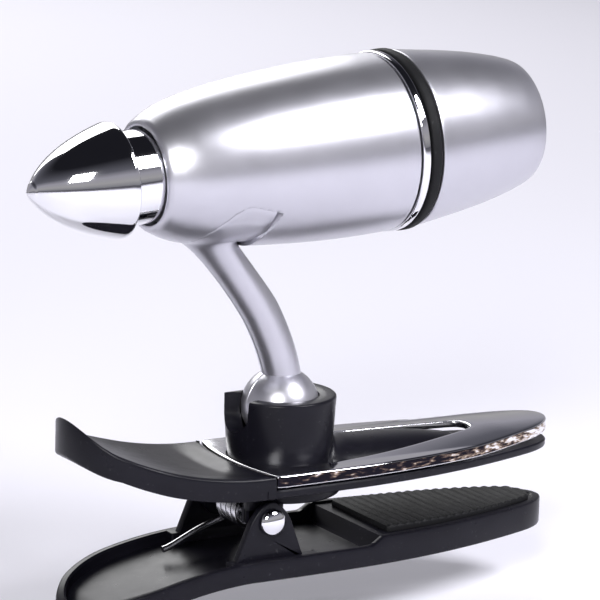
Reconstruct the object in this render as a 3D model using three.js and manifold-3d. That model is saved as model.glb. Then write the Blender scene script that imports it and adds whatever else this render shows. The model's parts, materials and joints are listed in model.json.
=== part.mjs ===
// A battery reading lamp on a sprung clip. Millimetres, +Z up.
//
// The model's origin is on the gripping face of the upper jaw's pad. Inside it, the clip group
// has its own origin on the ball joint's upright axis, level with the rim of the bright cover,
// with +X towards the tip of the jaws. The head group has its origin at the ball's centre.
import * as THREE from "three";
import { mergeVertices } from "three/addons/utils/BufferGeometryUtils.js";
import Module from "manifold-3d";

const wasm = await Module();
wasm.setup();

// ---- driving dimensions -------------------------------------------------------------
const GAP = 0.3; // clearance between neighbouring pieces
const PAD_CENTRE_X = 29; // ball axis to the centre of the pad's gripping face
const GRIP_DEPTH = 4; // cover rim down to that face
const BALL_HEIGHT = 7.1; // cover rim up to the ball's centre
const BALL_RADIUS = 5.7;
const HEAD_HEIGHT = 36.4; // ball's centre up to the head's long axis
const HEAD_TILT = THREE.MathUtils.degToRad(3.6); // the light end is held a little high
const ARM_RADIUS = 2.85;
const SADDLE_SUNK = 0.6; // how far the arm's saddle lies below the body's surface
const SADDLE_THICK = 1.1;
const SADDLE_REAR = -16.3;
const SADDLE_FRONT = -6.5;
const SADDLE_HALF_WIDTH = 10.6; // it reaches well up the body's sides
const ARM_SCREW_X = -10.4;
const ARM_SCREW_RADIUS = 0.8;
const JAW_HALF_WIDTH = 11.3;
const LEVER_HALF_WIDTH = 11;
const LEVER_CENTRE_X = -22; // centre of the lever's rounded end
const LEVER_END = 13; // that end's half axis along X
const JAW_TIP_X = 46;
const COVER_LEFT_X = -8.2;
const COVER_RIM = 1.8; // height of the cover's rim
const COVER_BOW = 1.6; // how far the corners of its left edge lie back from the middle
const SHEET = 1.0; // thickness of the cover's top
const SKIRT = 3.3; // cover rim down to the bottom of the upper jaw's skirt
const WALL = 1.4;
const EAR_THICK = 1.4;
const EAR_RADIUS = 2.4; // round the pin
const UPPER_EAR_Y = 6; // inner face of each upper ear
const LOWER_EAR_Y = 7.7; // inner face of each lower ear
const PIN_X = -6.3;
const PIN_Z = -7.2;
const PIN_RADIUS = 1;
const JAW_GAP = 6.5; // between the two pads as the lamp stands here
const LOWER_GRIP_Z = -GRIP_DEPTH - JAW_GAP;
const LOWER_RIM_Z = -12.4; // top of the lower lever's rim at the hinge
const LOWER_BASE_Z = -15.5;
const SLOT_HALF_WIDTH = 3.1; // the socket's slot
const SLOT_FLOOR = 4;
const BACK_FALL = THREE.MathUtils.degToRad(15); // the socket's rim falls away at the back
const NOSE_BASE_X = -25.6;
const BODY_REAR_X = -21;
const BODY_FRONT_X = 16.6;
const CAP_REAR_X = 20.4;
const CAP_FRONT_X = 40.9;
const BUTTON_NECK = 6.6; // radius
const CELL_RADIUS = 5.8;
const CELL_LENGTH = 5.1;
const ROUND = 28; // sides of the large turned pieces
const SMALL_ROUND = 16; // sides of the small ones

// ---- materials ----------------------------------------------------------------------
const finish = (color, roughness, metalness) =>
  new THREE.MeshStandardMaterial({ color, roughness, metalness });
const SILVER = () => finish(0xb9b8c0, 0.38, 0.8);
const CHROME = () => finish(0xdfe1e4, 0.06, 1);
const BLACK = () => finish(0x17161b, 0.35, 0);
const RUBBER = () => finish(0x131214, 0.85, 0);
const BRASS = () => finish(0xc0a050, 0.3, 1);
const STEEL = () => finish(0xa9abae, 0.3, 1);
const CLEAR = () => finish(0xe8f0f4, 0.05, 0);
const BOARD = () => finish(0x1f6b45, 0.6, 0);
const PHOSPHOR = () => finish(0xf2e27a, 0.4, 0);

// ---- solids -------------------------------------------------------------------------
// A closed three.js geometry as a solid whose faces point out.
function solid(geometry) {
  const bare = new THREE.BufferGeometry();
  bare.setAttribute("position", geometry.getAttribute("position"));
  if (geometry.index) bare.setIndex(geometry.index);
  const merged = mergeVertices(bare, 1e-4);
  const position = merged.getAttribute("position");
  const corners = merged.index.array;
  const kept = [];
  let volume = 0;
  const [a, b, c] = [new THREE.Vector3(), new THREE.Vector3(), new THREE.Vector3()];
  for (let i = 0; i < corners.length; i += 3) {
    const [p, q, r] = corners.subarray(i, i + 3);
    if (p === q || q === r || r === p) continue;
    kept.push(p, q, r);
    a.fromBufferAttribute(position, p);
    b.fromBufferAttribute(position, q);
    c.fromBufferAttribute(position, r);
    volume += a.dot(b.cross(c));
  }
  if (volume < 0) kept.reverse();
  return new wasm.Manifold(
    new wasm.Mesh({
      numProp: 3,
      vertProperties: new Float32Array(position.array),
      triVerts: new Uint32Array(kept),
    }),
  );
}

function geometryOf(body) {
  const mesh = body.getMesh();
  const geometry = new THREE.BufferGeometry();
  geometry.setAttribute("position", new THREE.BufferAttribute(mesh.vertProperties, 3));
  geometry.setIndex(new THREE.BufferAttribute(mesh.triVerts, 1));
  return geometry.toNonIndexed();
}

const join = (first, ...others) => others.reduce((body, other) => body.add(other), first);
const cut = (first, ...others) => others.reduce((body, other) => body.subtract(other), first);

// A profile of [place along the axis, radius] pairs, turned about Z.
function turnedZ(profile, sides = SMALL_ROUND) {
  const points = profile.map(([along, radius]) => new THREE.Vector2(radius, along));
  if (profile[0][1] > 0) points.push(points[0].clone());
  return new THREE.LatheGeometry(points, sides).rotateX(Math.PI / 2);
}

// The same about X, on the head's long axis.
function turnedX(profile, sides = SMALL_ROUND, height = HEAD_HEIGHT) {
  return turnedZ(profile, sides).rotateY(Math.PI / 2).translate(0, 0, height);
}

function rodY(radius, from, to, x, z, sides = SMALL_ROUND) {
  const rod = new THREE.CylinderGeometry(radius, radius, to - from, sides);
  return rod.translate(x, (from + to) / 2, z);
}

function rodZ(radius, from, to, x = 0, y = 0, sides = SMALL_ROUND) {
  return turnedZ([[from, 0], [from, radius], [to, radius], [to, 0]], sides).translate(x, y, 0);
}

function box(x0, x1, y0, y1, z0, z1) {
  const block = new THREE.BoxGeometry(x1 - x0, y1 - y0, z1 - z0);
  return block.translate((x0 + x1) / 2, (y0 + y1) / 2, (z0 + z1) / 2);
}

// A plan outline raised from one height to another.
function raised(outline, from, to, curveSegments = 8) {
  const slab = new THREE.ExtrudeGeometry(outline, {
    depth: to - from,
    bevelEnabled: false,
    curveSegments,
  });
  return slab.translate(0, 0, from);
}

// A side outline, given as (x, z), spread from one y to another.
function spread(outline, from, to, curveSegments = 8) {
  return raised(outline, -to, -from, curveSegments).rotateX(Math.PI / 2);
}

// Wire along a curve; open at neither end.
function wire(curve, radius, steps, sides = 6) {
  const section = new THREE.Shape();
  section.absarc(0, 0, radius, 0, 2 * Math.PI);
  return new THREE.ExtrudeGeometry(section, {
    steps,
    bevelEnabled: false,
    extrudePath: curve,
    curveSegments: sides / 2,
  });
}

class Coil extends THREE.Curve {
  // A helix about Z whose radius may change from end to end.
  constructor(from, to, radiusFrom, radiusTo, turns) {
    super();
    Object.assign(this, { from, to, radiusFrom, radiusTo, turns });
  }

  getPoint(t, target = new THREE.Vector3()) {
    const angle = 2 * Math.PI * this.turns * t;
    const radius = THREE.MathUtils.lerp(this.radiusFrom, this.radiusTo, t);
    const height = THREE.MathUtils.lerp(this.from, this.to, t);
    return target.set(radius * Math.cos(angle), radius * Math.sin(angle), height);
  }
}

function coilZ(from, to, radiusFrom, radiusTo, turns, wireRadius) {
  return wire(new Coil(from, to, radiusFrom, radiusTo, turns), wireRadius, Math.round(turns * 8), 4);
}

function coilX(...sizes) {
  return coilZ(...sizes).rotateY(Math.PI / 2).translate(0, 0, HEAD_HEIGHT);
}

const model = new THREE.Group();
const clip = new THREE.Group();
const head = new THREE.Group();
clip.position.set(-PAD_CENTRE_X, 0, GRIP_DEPTH);
head.position.set(0, 0, BALL_HEIGHT);
head.rotation.y = -HEAD_TILT;
clip.add(head);
model.add(clip);

function piece(group, name, shape, material) {
  const body = shape.isBufferGeometry ? solid(shape) : shape;
  const mesh = new THREE.Mesh(geometryOf(body), material);
  mesh.name = name;
  group.add(mesh);
}

// ---- head: shell, nose, rings and cap -----------------------------------------------
const BODY_OUTSIDE = [
  [-21, 7.6], [-20.5, 8], [-18.6, 9.1], [-16, 10.05], [-12, 10.95], [-7, 11.7],
  [-1, 12.3], [5, 12.75], [11, 12.95], [16.6, 12.9],
];
const COLLAR_END = 24.4; // threaded collar that the cap screws on
const COLLAR_RADIUS = 11.2;
const FRONT_BORE = 10.4;

// The body's outline moved inwards, closed to the axis.
function bodyCore(inset) {
  const outside = BODY_OUTSIDE.map(([x, r]) => [x, r - inset]);
  return turnedX([[BODY_REAR_X, 0], ...outside, [BODY_FRONT_X, 0]], ROUND);
}

// Plan outline of the arm's saddle; its front edge sweeps forward where it climbs the sides.
function saddleOutline(margin) {
  const side = SADDLE_HALF_WIDTH + margin;
  const [rear, front] = [SADDLE_REAR - margin, SADDLE_FRONT + margin];
  const outline = new THREE.Shape();
  outline.moveTo(rear, 0);
  outline.bezierCurveTo(rear, -6, rear + 1.5, 0.8 - side, rear + 7.3, -side);
  outline.lineTo(front + 1.8, -side);
  outline.quadraticCurveTo(front, 3 - side, front, 5 - side);
  outline.lineTo(front, side - 5);
  outline.quadraticCurveTo(front, side - 3, front + 1.8, side);
  outline.lineTo(rear + 7.3, side);
  outline.bezierCurveTo(rear + 1.5, side - 0.8, rear, 6, rear, 0);
  return outline;
}

const saddlePrism = (margin) => solid(raised(saddleOutline(margin), 10, HEAD_HEIGHT, 5));

function bodyShell() {
  const wall = solid(turnedX([
    [-19.6, 6.95], [BODY_REAR_X, 6.95], ...BODY_OUTSIDE, [BODY_FRONT_X, COLLAR_RADIUS],
    [COLLAR_END, COLLAR_RADIUS],
    [COLLAR_END, FRONT_BORE], [-2, FRONT_BORE], [-2, 8.1], [-12.5, 8.1], [-12.5, 7.3], [-19.6, 7.3],
  ], ROUND));
  const recess = saddlePrism(GAP).subtract(solid(bodyCore(SADDLE_SUNK + SADDLE_THICK + GAP)));
  const axis = HEAD_HEIGHT;
  const screwHole = solid(rodZ(ARM_SCREW_RADIUS + GAP, axis - 13, axis - 5, ARM_SCREW_X));
  const screwSeat = solid(rodZ(2, axis - 8.6, axis - 5, ARM_SCREW_X));
  return cut(wall, recess, screwHole, screwSeat);
}

function noseButton() {
  const point = new THREE.QuadraticBezierCurve(
    new THREE.Vector2(-38.9, 0), new THREE.Vector2(-36, 5.5), new THREE.Vector2(-26.1, 8.2),
  );
  const ogive = point.getPoints(7).map((p) => [p.x, p.y]);
  return turnedX([
    ...ogive, [NOSE_BASE_X, 8.2], [NOSE_BASE_X + 0.3, 7.9], [NOSE_BASE_X + 0.3, BUTTON_NECK],
    [-19.2, BUTTON_NECK], [-19.2, 7], [-17.6, 7],
    [-17.6, 5.5], [-27, 5.5], [-28, 4.5], [-28, 0],
  ], ROUND);
}

function switchPieces() {
  const axis = HEAD_HEIGHT;
  const can = solid(turnedX([
    [-14.6, 2.1], [-14.6, 4], [-12.1, 4], [-12.1, 7.8], [-9, 7.8], [-9, 0], [-10.4, 0], [-10.4, 2.1],
  ], 24));
  const keyed = can.subtract(solid(box(-13, -8, -9, 9, axis - 9, axis - 7.1)));
  piece(head, "switch_body", keyed, BLACK());
  const stem = turnedX([
    [-27.7, 0], [-27.7, 3.4], [-26.6, 3.4], [-26.6, 1.8], [-13, 1.8], [-13, 0],
  ]);
  piece(head, "switch_plunger", stem, BRASS());
  piece(head, "button_spring", coilX(-25.8, -12.8, 4.6, 4.6, 5, 0.35), STEEL());
}

function powerPieces() {
  const axis = HEAD_HEIGHT;
  const tube = solid(turnedX([
    [-8.7, 6.1], [-8.7, 6.9], [10.5, 6.9], [10.5, 10.1], [12, 10.1], [12, 6.1],
  ], 24));
  const notch = solid(box(10, 13, -1.8, 1.8, axis + 6.6, axis + 11));
  piece(head, "battery_sleeve", cut(tube, notch), BLACK());
  for (let i = 0; i < 3; i += 1) {
    const start = -5.9 + i * (CELL_LENGTH + GAP);
    const can = turnedX([
      [start, 0], [start, CELL_RADIUS], [start + 4.3, CELL_RADIUS], [start + 4.5, 4.9],
      [start + CELL_LENGTH, 4.7], [start + CELL_LENGTH, 0],
    ], 20);
    piece(head, `cell_${i + 1}`, can, STEEL());
  }
  piece(head, "contact_spring", coilX(-8.4, -6.4, 4.6, 2.6, 3, 0.2), BRASS());
  const strip = box(-8.7, 12.1, -1.2, 1.2, axis + 7.2, axis + 7.6);
  piece(head, "contact_strip", strip, BRASS());
}

function lightPieces() {
  const board = turnedX([[10.3, 0], [10.3, 1.6], [12.4, 1.6], [12.4, 10.1], [13.6, 10.1], [13.6, 0]], 24);
  piece(head, "led_board", board, BOARD());
  const emitter = turnedX([
    [13.9, 0], [13.9, 2.5], [14.6, 2.5], [14.6, 1.8], [15.2, 1.7], [15.8, 1], [16, 0],
  ]);
  piece(head, "led", emitter, PHOSPHOR());
  const inner = (x) => Math.sqrt(2.42 * (x - 14.5));
  const places = [16.6, 19, 23, 28, 33, 38.2];
  const bowl = turnedX([
    ...places.map((x) => [x, inner(x)]), [38.7, inner(38.2)], [38.7, 8.7], [37.9, 8.7],
    ...places.slice(0, -1).reverse().map((x) => [x, inner(x) + 0.8]),
  ], 24);
  piece(head, "reflector", bowl, CHROME());
  piece(head, "lens", turnedX([[39, 0], [39, 8.4], [39.9, 8.4], [40.2, 6], [40.3, 0]], 24), CLEAR());
}

function frontPieces() {
  const trim = turnedX([
    [16.9, 11.5], [16.9, 13], [17.2, 13.15], [17.9, 13.15], [18.2, 13], [18.2, 11.5],
  ], ROUND);
  piece(head, "chrome_ring", trim, CHROME());
  const seal = turnedX([
    [18.5, 11.5], [18.5, 13], [18.8, 13.2], [19.8, 13.2], [20.1, 13], [20.1, 11.5],
  ], ROUND);
  piece(head, "seal_ring", seal, RUBBER());
  const cap = turnedX([
    [CAP_REAR_X, 12.9], [24, 12.45], [28.5, 11.85], [33, 11.1], [37, 10.2], [39.8, 9.3], [40.5, 8.7],
    [CAP_FRONT_X, 8.4], [CAP_FRONT_X, 7.7], [40.6, 7.7], [40.6, 8.7], [38.2, 9], [36.6, 9.2], [28, 10.4],
    [25.2, 10.9], [25.2, 11.5], [CAP_REAR_X, 11.5],
  ], ROUND);
  piece(head, "front_cap", cap, SILVER());
}

// ---- arm ----------------------------------------------------------------------------
// Ball, curved stem and the saddle that lies in the body's recess, in one casting.
function arm() {
  const path = new THREE.QuadraticBezierCurve3(
    new THREE.Vector3(0.6, 0, 0), new THREE.Vector3(1.2, 0, 12), new THREE.Vector3(-12.5, 0, 29),
  );
  const stem = solid(wire(path, ARM_RADIUS, 11, 12));
  const ball = solid(new THREE.SphereGeometry(BALL_RADIUS, 20, 12));
  const flare = solid(turnedZ([[0, 0], [0, 2.7], [3, 3], [5, 3.5], [7, 4.3], [8.5, 5.1], [8.5, 0]], 16)
    .rotateY(-Math.PI / 4.6)
    .translate(-6.8, 0, 20.4));
  const patch = saddlePrism(0).intersect(solid(bodyCore(SADDLE_SUNK)));
  const clear = solid(bodyCore(SADDLE_SUNK + SADDLE_THICK));
  const shellRoom = solid(bodyCore(-GAP)).subtract(saddlePrism(0));
  const axis = HEAD_HEIGHT;
  const above = solid(box(-30, 20, -20, 20, axis - 6, axis + 20));
  const screwHole = solid(rodZ(ARM_SCREW_RADIUS + GAP, axis - 14, axis, ARM_SCREW_X));
  return cut(join(stem, ball, flare, patch), clear, shellRoom, above, screwHole);
}

function armScrew() {
  const axis = HEAD_HEIGHT;
  return rodlike([
    [axis - 13.6, ARM_SCREW_RADIUS], [axis - 8.3, ARM_SCREW_RADIUS], [axis - 8.3, 1.6],
    [axis - 7.5, 1.6],
  ]);
}

function rodlike(steps) {
  const [first, last] = [steps[0], steps[steps.length - 1]];
  return turnedZ([[first[0], 0], ...steps, [last[0], 0]], 12);
}

// ---- clip ---------------------------------------------------------------------------
// Height of the lever's top, which curls up towards its end.
function leverTop(x) {
  const rise = Math.max(0, -8 - x);
  const curl = Math.max(0, -30 - x);
  return 0.0098 * rise * rise + 0.085 * curl * curl;
}

// Plan outline that both halves of the clip share; the inset moves it inwards.
function clipOutline(inset) {
  const lever = LEVER_HALF_WIDTH - inset;
  const jaw = JAW_HALF_WIDTH - inset;
  const tip = JAW_TIP_X - inset;
  const outline = new THREE.Shape();
  outline.moveTo(LEVER_CENTRE_X, -lever);
  outline.lineTo(-2, -jaw);
  outline.lineTo(7, -jaw);
  outline.bezierCurveTo(20, 0.3 - jaw, 30, 2.4 - jaw, tip - 6, 5.6 - jaw);
  outline.bezierCurveTo(tip - 2, 7 - jaw, tip, 9 - jaw, tip, 0);
  outline.bezierCurveTo(tip, jaw - 9, tip - 2, jaw - 7, tip - 6, jaw - 5.6);
  outline.bezierCurveTo(30, jaw - 2.4, 20, jaw - 0.3, 7, jaw);
  outline.lineTo(-2, jaw);
  outline.lineTo(LEVER_CENTRE_X, lever);
  outline.absellipse(LEVER_CENTRE_X, 0, LEVER_END - inset, lever, Math.PI / 2, 1.5 * Math.PI, false, 0);
  return outline;
}

// Side outline of a lever from its end to a given x, between two depths square to its slope.
function leverSide(end, upper, lower, height) {
  const at = (x, depth) => {
    const slope = (height(x + 0.05) - height(x - 0.05)) * 10;
    return new THREE.Vector2(x, height(x) - depth * Math.hypot(1, slope));
  };
  const places = [-37, -35, -33.5, -32, -30, -26, -22, -18, -14, -10, end];
  const over = places.map((x) => at(x, upper));
  const under = places.reverse().map((x) => at(x, lower));
  return new THREE.Shape([...over, ...under]);
}

// Two lugs about the pin, from a foot at one height to a round end; way is -1 for a foot above.
function ears(inner, foot, footX, way) {
  const outline = new THREE.Shape();
  outline.moveTo(footX[0], foot);
  outline.lineTo(PIN_X - EAR_RADIUS, PIN_Z);
  outline.absarc(PIN_X, PIN_Z, EAR_RADIUS, Math.PI, way < 0 ? 2 * Math.PI : 0, way > 0);
  outline.lineTo(footX[1], foot);
  const outer = inner + EAR_THICK;
  return [solid(spread(outline, -outer, -inner, 6)), solid(spread(outline, inner, outer, 6))];
}

function upperJaw() {
  const plan = solid(raised(clipOutline(0), -12, 16, 6));
  const inner = solid(raised(clipOutline(WALL), -12, 16, 6));
  const long = plan.intersect(solid(spread(leverSide(COVER_LEFT_X + 3, 0, SKIRT, leverTop), -13, 13)));
  const lever = long.subtract(solid(raised(coverOutline(-GAP), -COVER_RIM - GAP, 5, 6)));
  const pocket = inner.intersect(solid(spread(leverSide(COVER_LEFT_X, WALL, 9, leverTop), -13, 13)));
  const deckTop = -COVER_RIM - GAP;
  const jaw = plan.intersect(solid(box(COVER_LEFT_X - 1, 50, -13, 13, -SKIRT, deckTop)));
  const raft = solid(raised(coverOpening(-GAP), deckTop - 0.2, -SHEET - 0.2, 6));
  const crest = solid(new THREE.SphereGeometry(1, 20, 10).scale(25, 6, 3.3).translate(7, 0, -1.7));
  const crestTrim = solid(box(-20, 3, -8, 8, -8, 4));
  const under = solid(box(-30, 50, -13, 13, -12, -SKIRT + 0.1));
  const boss = solid(rodZ(9, -5.2, deckTop, 0, 0, 28));
  const lugs = ears(UPPER_EAR_Y, -2.4, [-9.4, -3.2], -1);
  const room = solid(raised(coverOpening(-GAP), -6, 6, 6));
  const ridge = cut(crest, crestTrim, under).intersect(room);
  const body = join(cut(lever, pocket), jaw, raft, ridge, boss, ...lugs);
  const seat = solid(turnedZ([[-3.5, 0], [-3.5, 7.6], [-0.6, 7.6], [2, 8.05], [2, 0]], 28));
  const screwHole = solid(rodZ(1.5, -8, 0));
  const pinHole = solid(rodY(PIN_RADIUS + GAP, -9, 9, PIN_X, PIN_Z));
  const padPocket = solid(raised(padOutline(GAP), -SKIRT - 1, -SKIRT + 0.6, 4));
  const springRoom = solid(rodY(3.1, -4.2, 4.2, PIN_X, PIN_Z));
  const legRoom = solid(box(-11, -6.5, -4.2, -2.2, -8, -3.85));
  return cut(body, seat, screwHole, pinHole, padPocket, springRoom, legRoom);
}

// Plan outline of the cover's opening: round the socket, then narrowing to a round end.
function coverOpening(margin) {
  const round = 7.55 + margin;
  const end = 33 + margin;
  const outline = new THREE.Shape();
  outline.moveTo(2, -round);
  outline.bezierCurveTo(12, -round, 24, -4.2 - margin, 30, -2.6 - margin);
  outline.bezierCurveTo(end, -1.8, end, 1.8, 30, 2.6 + margin);
  outline.bezierCurveTo(24, 4.2 + margin, 12, round, 2, round);
  outline.absarc(0, 0, round, Math.PI / 2 - 0.1, 1.5 * Math.PI + 0.1, false);
  return outline;
}

function coverOutline(inset) {
  const outline = clipOutline(inset).getPoints(6).filter((p) => p.x > COVER_LEFT_X + COVER_BOW + 0.4 + inset);
  const corner = JAW_HALF_WIDTH - 0.25 - inset;
  const left = COVER_LEFT_X + inset;
  const edge = new THREE.QuadraticBezierCurve(
    new THREE.Vector2(left + COVER_BOW, corner), new THREE.Vector2(left - COVER_BOW, 0),
    new THREE.Vector2(left + COVER_BOW, -corner),
  );
  return new THREE.Shape([...outline, ...edge.getPoints(6)]);
}

// Rise of the cover's crown: none at the socket, most along the middle towards the tip.
function crown(x, y) {
  const along = THREE.MathUtils.clamp((x - 2) / 34, 0, 1);
  return 1.1 * along * Math.max(0, 1 - (y / 8.5) ** 2);
}

function crowned(geometry) {
  const position = geometry.getAttribute("position");
  for (let i = 0; i < position.count; i += 1) {
    const lift = crown(position.getX(i), position.getY(i));
    position.setZ(i, position.getZ(i) + lift);
  }
  return geometry;
}

function chromeCover() {
  const sheet = coverOutline(0);
  sheet.holes.push(new THREE.Path(coverOpening(0).getPoints(6)));
  const plate = solid(crowned(raised(sheet, -COVER_RIM, 0, 6)));
  const rim = 0.9;
  const hollow = solid(raised(coverOutline(rim), -COVER_RIM - 1, -SHEET, 6));
  const lip = solid(raised(coverOpening(rim), -COVER_RIM - 2, 0, 6));
  return plate.subtract(hollow.subtract(lip));
}

function ballSocket() {
  const cup = solid(turnedZ([
    [-3.2, 1.4], [-3.2, 7.2], [-0.9, 7.2], [-0.7, 7.35], [2, 7.7], [BALL_HEIGHT + 1.6, 8.1],
    [BALL_HEIGHT + 1.9, 7.85], [BALL_HEIGHT + 1.9, 6.2], [BALL_HEIGHT, 6.3], [-1.9, 6.3],
    [-1.9, 2.4], [-0.8, 2.4], [-0.8, 1.4],
  ], ROUND));
  const ballRoom = solid(new THREE.SphereGeometry(BALL_RADIUS + GAP + 0.05, 20, 12)
    .translate(0, 0, BALL_HEIGHT));
  const lip = solid(turnedZ([
    [BALL_HEIGHT + 0.4, 6.4], [BALL_HEIGHT + 0.4, 5], [BALL_HEIGHT + 1.9, 5], [BALL_HEIGHT + 1.9, 6.4],
  ], ROUND));
  const slotMiddle = SLOT_FLOOR + SLOT_HALF_WIDTH;
  const slotFloor = solid(new THREE.CylinderGeometry(SLOT_HALF_WIDTH, SLOT_HALF_WIDTH, 6, 16)
    .rotateZ(Math.PI / 2).translate(-7.5, 0, slotMiddle));
  const slot = solid(box(-10.5, -4.5, -SLOT_HALF_WIDTH, SLOT_HALF_WIDTH, slotMiddle, 12));
  const backSlope = solid(box(-12, 12, 0, 12, 0, 6).rotateX(-BACK_FALL)
    .translate(0, SLOT_HALF_WIDTH, BALL_HEIGHT + 1.9));
  return cut(join(cup, cut(lip, ballRoom)), slot, slotFloor, backSlope);
}

function frictionCup() {
  const [inner, outer] = [BALL_RADIUS + GAP, BALL_RADIUS + 1.2];
  const angles = [0, 10, 20, 30].map(THREE.MathUtils.degToRad);
  const under = angles.map((a) => [BALL_HEIGHT - outer * Math.cos(a), outer * Math.sin(a)]);
  const over = angles.reverse().map((a) => [BALL_HEIGHT - inner * Math.cos(a), inner * Math.sin(a)]);
  return turnedZ([...under, ...over], 16);
}

// Plan outline of the rubber pads, inside the jaw's outline.
function padOutline(margin) {
  const outline = new THREE.Shape();
  outline.moveTo(14 - margin, -8 - margin);
  outline.bezierCurveTo(26, -7.6 - margin, 34, -6 - margin, 40.4, -3.6 - margin);
  outline.bezierCurveTo(44.2 + margin, -2.2, 44.2 + margin, 2.2, 40.4, 3.6 + margin);
  outline.bezierCurveTo(34, 6 + margin, 26, 7.6 + margin, 14 - margin, 8 + margin);
  return outline;
}

// Height of the lower lever's rim, which falls away as the upper one rises.
function lowerTop(x) {
  return LOWER_RIM_Z - 0.8 * leverTop(x);
}

function lowerJaw() {
  const plan = solid(raised(clipOutline(0.4), -32, 0, 6));
  const inner = solid(raised(clipOutline(0.4 + WALL), -32, 0, 6));
  const lever = plan.intersect(solid(spread(leverSide(-9, 0, 3.1, lowerTop), -13, 13)));
  const pocket = inner.intersect(solid(spread(leverSide(-8, -5, 1.7, lowerTop), -13, 13)));
  const deckTop = LOWER_GRIP_Z - 0.7;
  const jaw = plan.intersect(solid(box(-10, 50, -13, 13, LOWER_BASE_Z, deckTop)));
  const hollow = inner.intersect(solid(box(-12, 12, -13, 13, LOWER_BASE_Z + WALL, 0)));
  const block = inner.intersect(solid(box(-13, 0.2, -13, 13, LOWER_BASE_Z + 0.5, LOWER_RIM_Z - 0.1)));
  const ledges = block.subtract(solid(box(-14, 1, -LOWER_EAR_Y, LOWER_EAR_Y, -20, 0)));
  const lugs = ears(LOWER_EAR_Y, LOWER_RIM_Z - 0.6, [-12, -0.8], 1);
  const roomForBoss = solid(box(-9.2, 12, -13, 13, LOWER_RIM_Z, deckTop + 2));
  const pinHole = solid(rodY(PIN_RADIUS + GAP, -12, 12, PIN_X, PIN_Z));
  const padPocket = solid(raised(padOutline(GAP), deckTop - 0.6, deckTop + 1, 4));
  const tray = cut(join(lever, jaw), pocket, hollow, roomForBoss);
  return cut(join(tray, ledges, ...lugs), pinHole, padPocket);
}

function hingePieces() {
  const pin = join(
    solid(rodY(PIN_RADIUS, -9.9, 10.6, PIN_X, PIN_Z)),
    solid(new THREE.SphereGeometry(1, 16, 10, 0, 2 * Math.PI, 0, Math.PI)
      .scale(2, 1.1, 2).translate(PIN_X, -9.4, PIN_Z))
      .subtract(solid(box(-20, 5, -9.4, 0, -15, 0))),
  );
  piece(clip, "hinge_pin", pin, CHROME());
  const washer = cut(
    solid(rodY(2.2, 9.4, 10.3, PIN_X, PIN_Z)),
    solid(rodY(PIN_RADIUS + GAP, 9, 11, PIN_X, PIN_Z)),
  );
  piece(clip, "pin_cap", washer, STEEL());
}

// Coils about the pin with a leg to the inside of each lever.
function torsionSpring() {
  const radius = 2.1;
  const [turns, from, to] = [4, -3.2, 3.2];
  const points = [new THREE.Vector3(-17, from, -2.5), new THREE.Vector3(-11, from, -3.9)];
  const steps = turns * 8;
  for (let i = 0; i <= steps; i += 1) {
    const angle = Math.PI / 2 - (i / steps) * (2 * Math.PI * turns + Math.PI);
    const y = THREE.MathUtils.lerp(from, to, i / steps);
    points.push(new THREE.Vector3(PIN_X + radius * Math.cos(angle), y, PIN_Z + radius * Math.sin(angle)));
  }
  points.push(new THREE.Vector3(-11, to, -10.8), new THREE.Vector3(-17, to, -13.2));
  return wire(new THREE.CatmullRomCurve3(points, false, "centripetal"), 0.5, 60, 4);
}

function clipPieces() {
  piece(clip, "upper_jaw", upperJaw(), BLACK());
  piece(clip, "chrome_cover", chromeCover(), CHROME());
  piece(clip, "ball_socket", ballSocket(), BLACK());
  piece(clip, "socket_screw", rodlike([[-6.4, 2.4], [-5.5, 2.4], [-5.5, 1.1], [-1.2, 1.1]]), STEEL());
  piece(clip, "friction_spring", coilZ(-1.4, -0.3, 3.6, 2.6, 2, 0.2), STEEL());
  piece(clip, "friction_cup", frictionCup(), BLACK());
  piece(clip, "upper_pad", raised(padOutline(0), -GRIP_DEPTH, -SKIRT + 0.3, 4), RUBBER());
  piece(clip, "lower_jaw", lowerJaw(), BLACK());
  piece(clip, "lower_pad", raised(padOutline(0), LOWER_GRIP_Z - 1, LOWER_GRIP_Z, 4), RUBBER());
  hingePieces();
  piece(clip, "torsion_spring", torsionSpring(), STEEL());
}

piece(head, "nose_button", noseButton(), CHROME());
switchPieces();
powerPieces();
lightPieces();
piece(head, "body_shell", bodyShell(), SILVER());
frontPieces();
piece(head, "arm", arm(), SILVER());
piece(head, "arm_screw", armScrew().translate(ARM_SCREW_X, 0, 0), STEEL());
clipPieces();

export default model;
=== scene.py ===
"""A small battery reading lamp on a sprung clip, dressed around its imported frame."""
import json
import logging
import math
from dataclasses import dataclass, field, replace
from enum import Enum
from typing import Callable, Sequence

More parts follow.
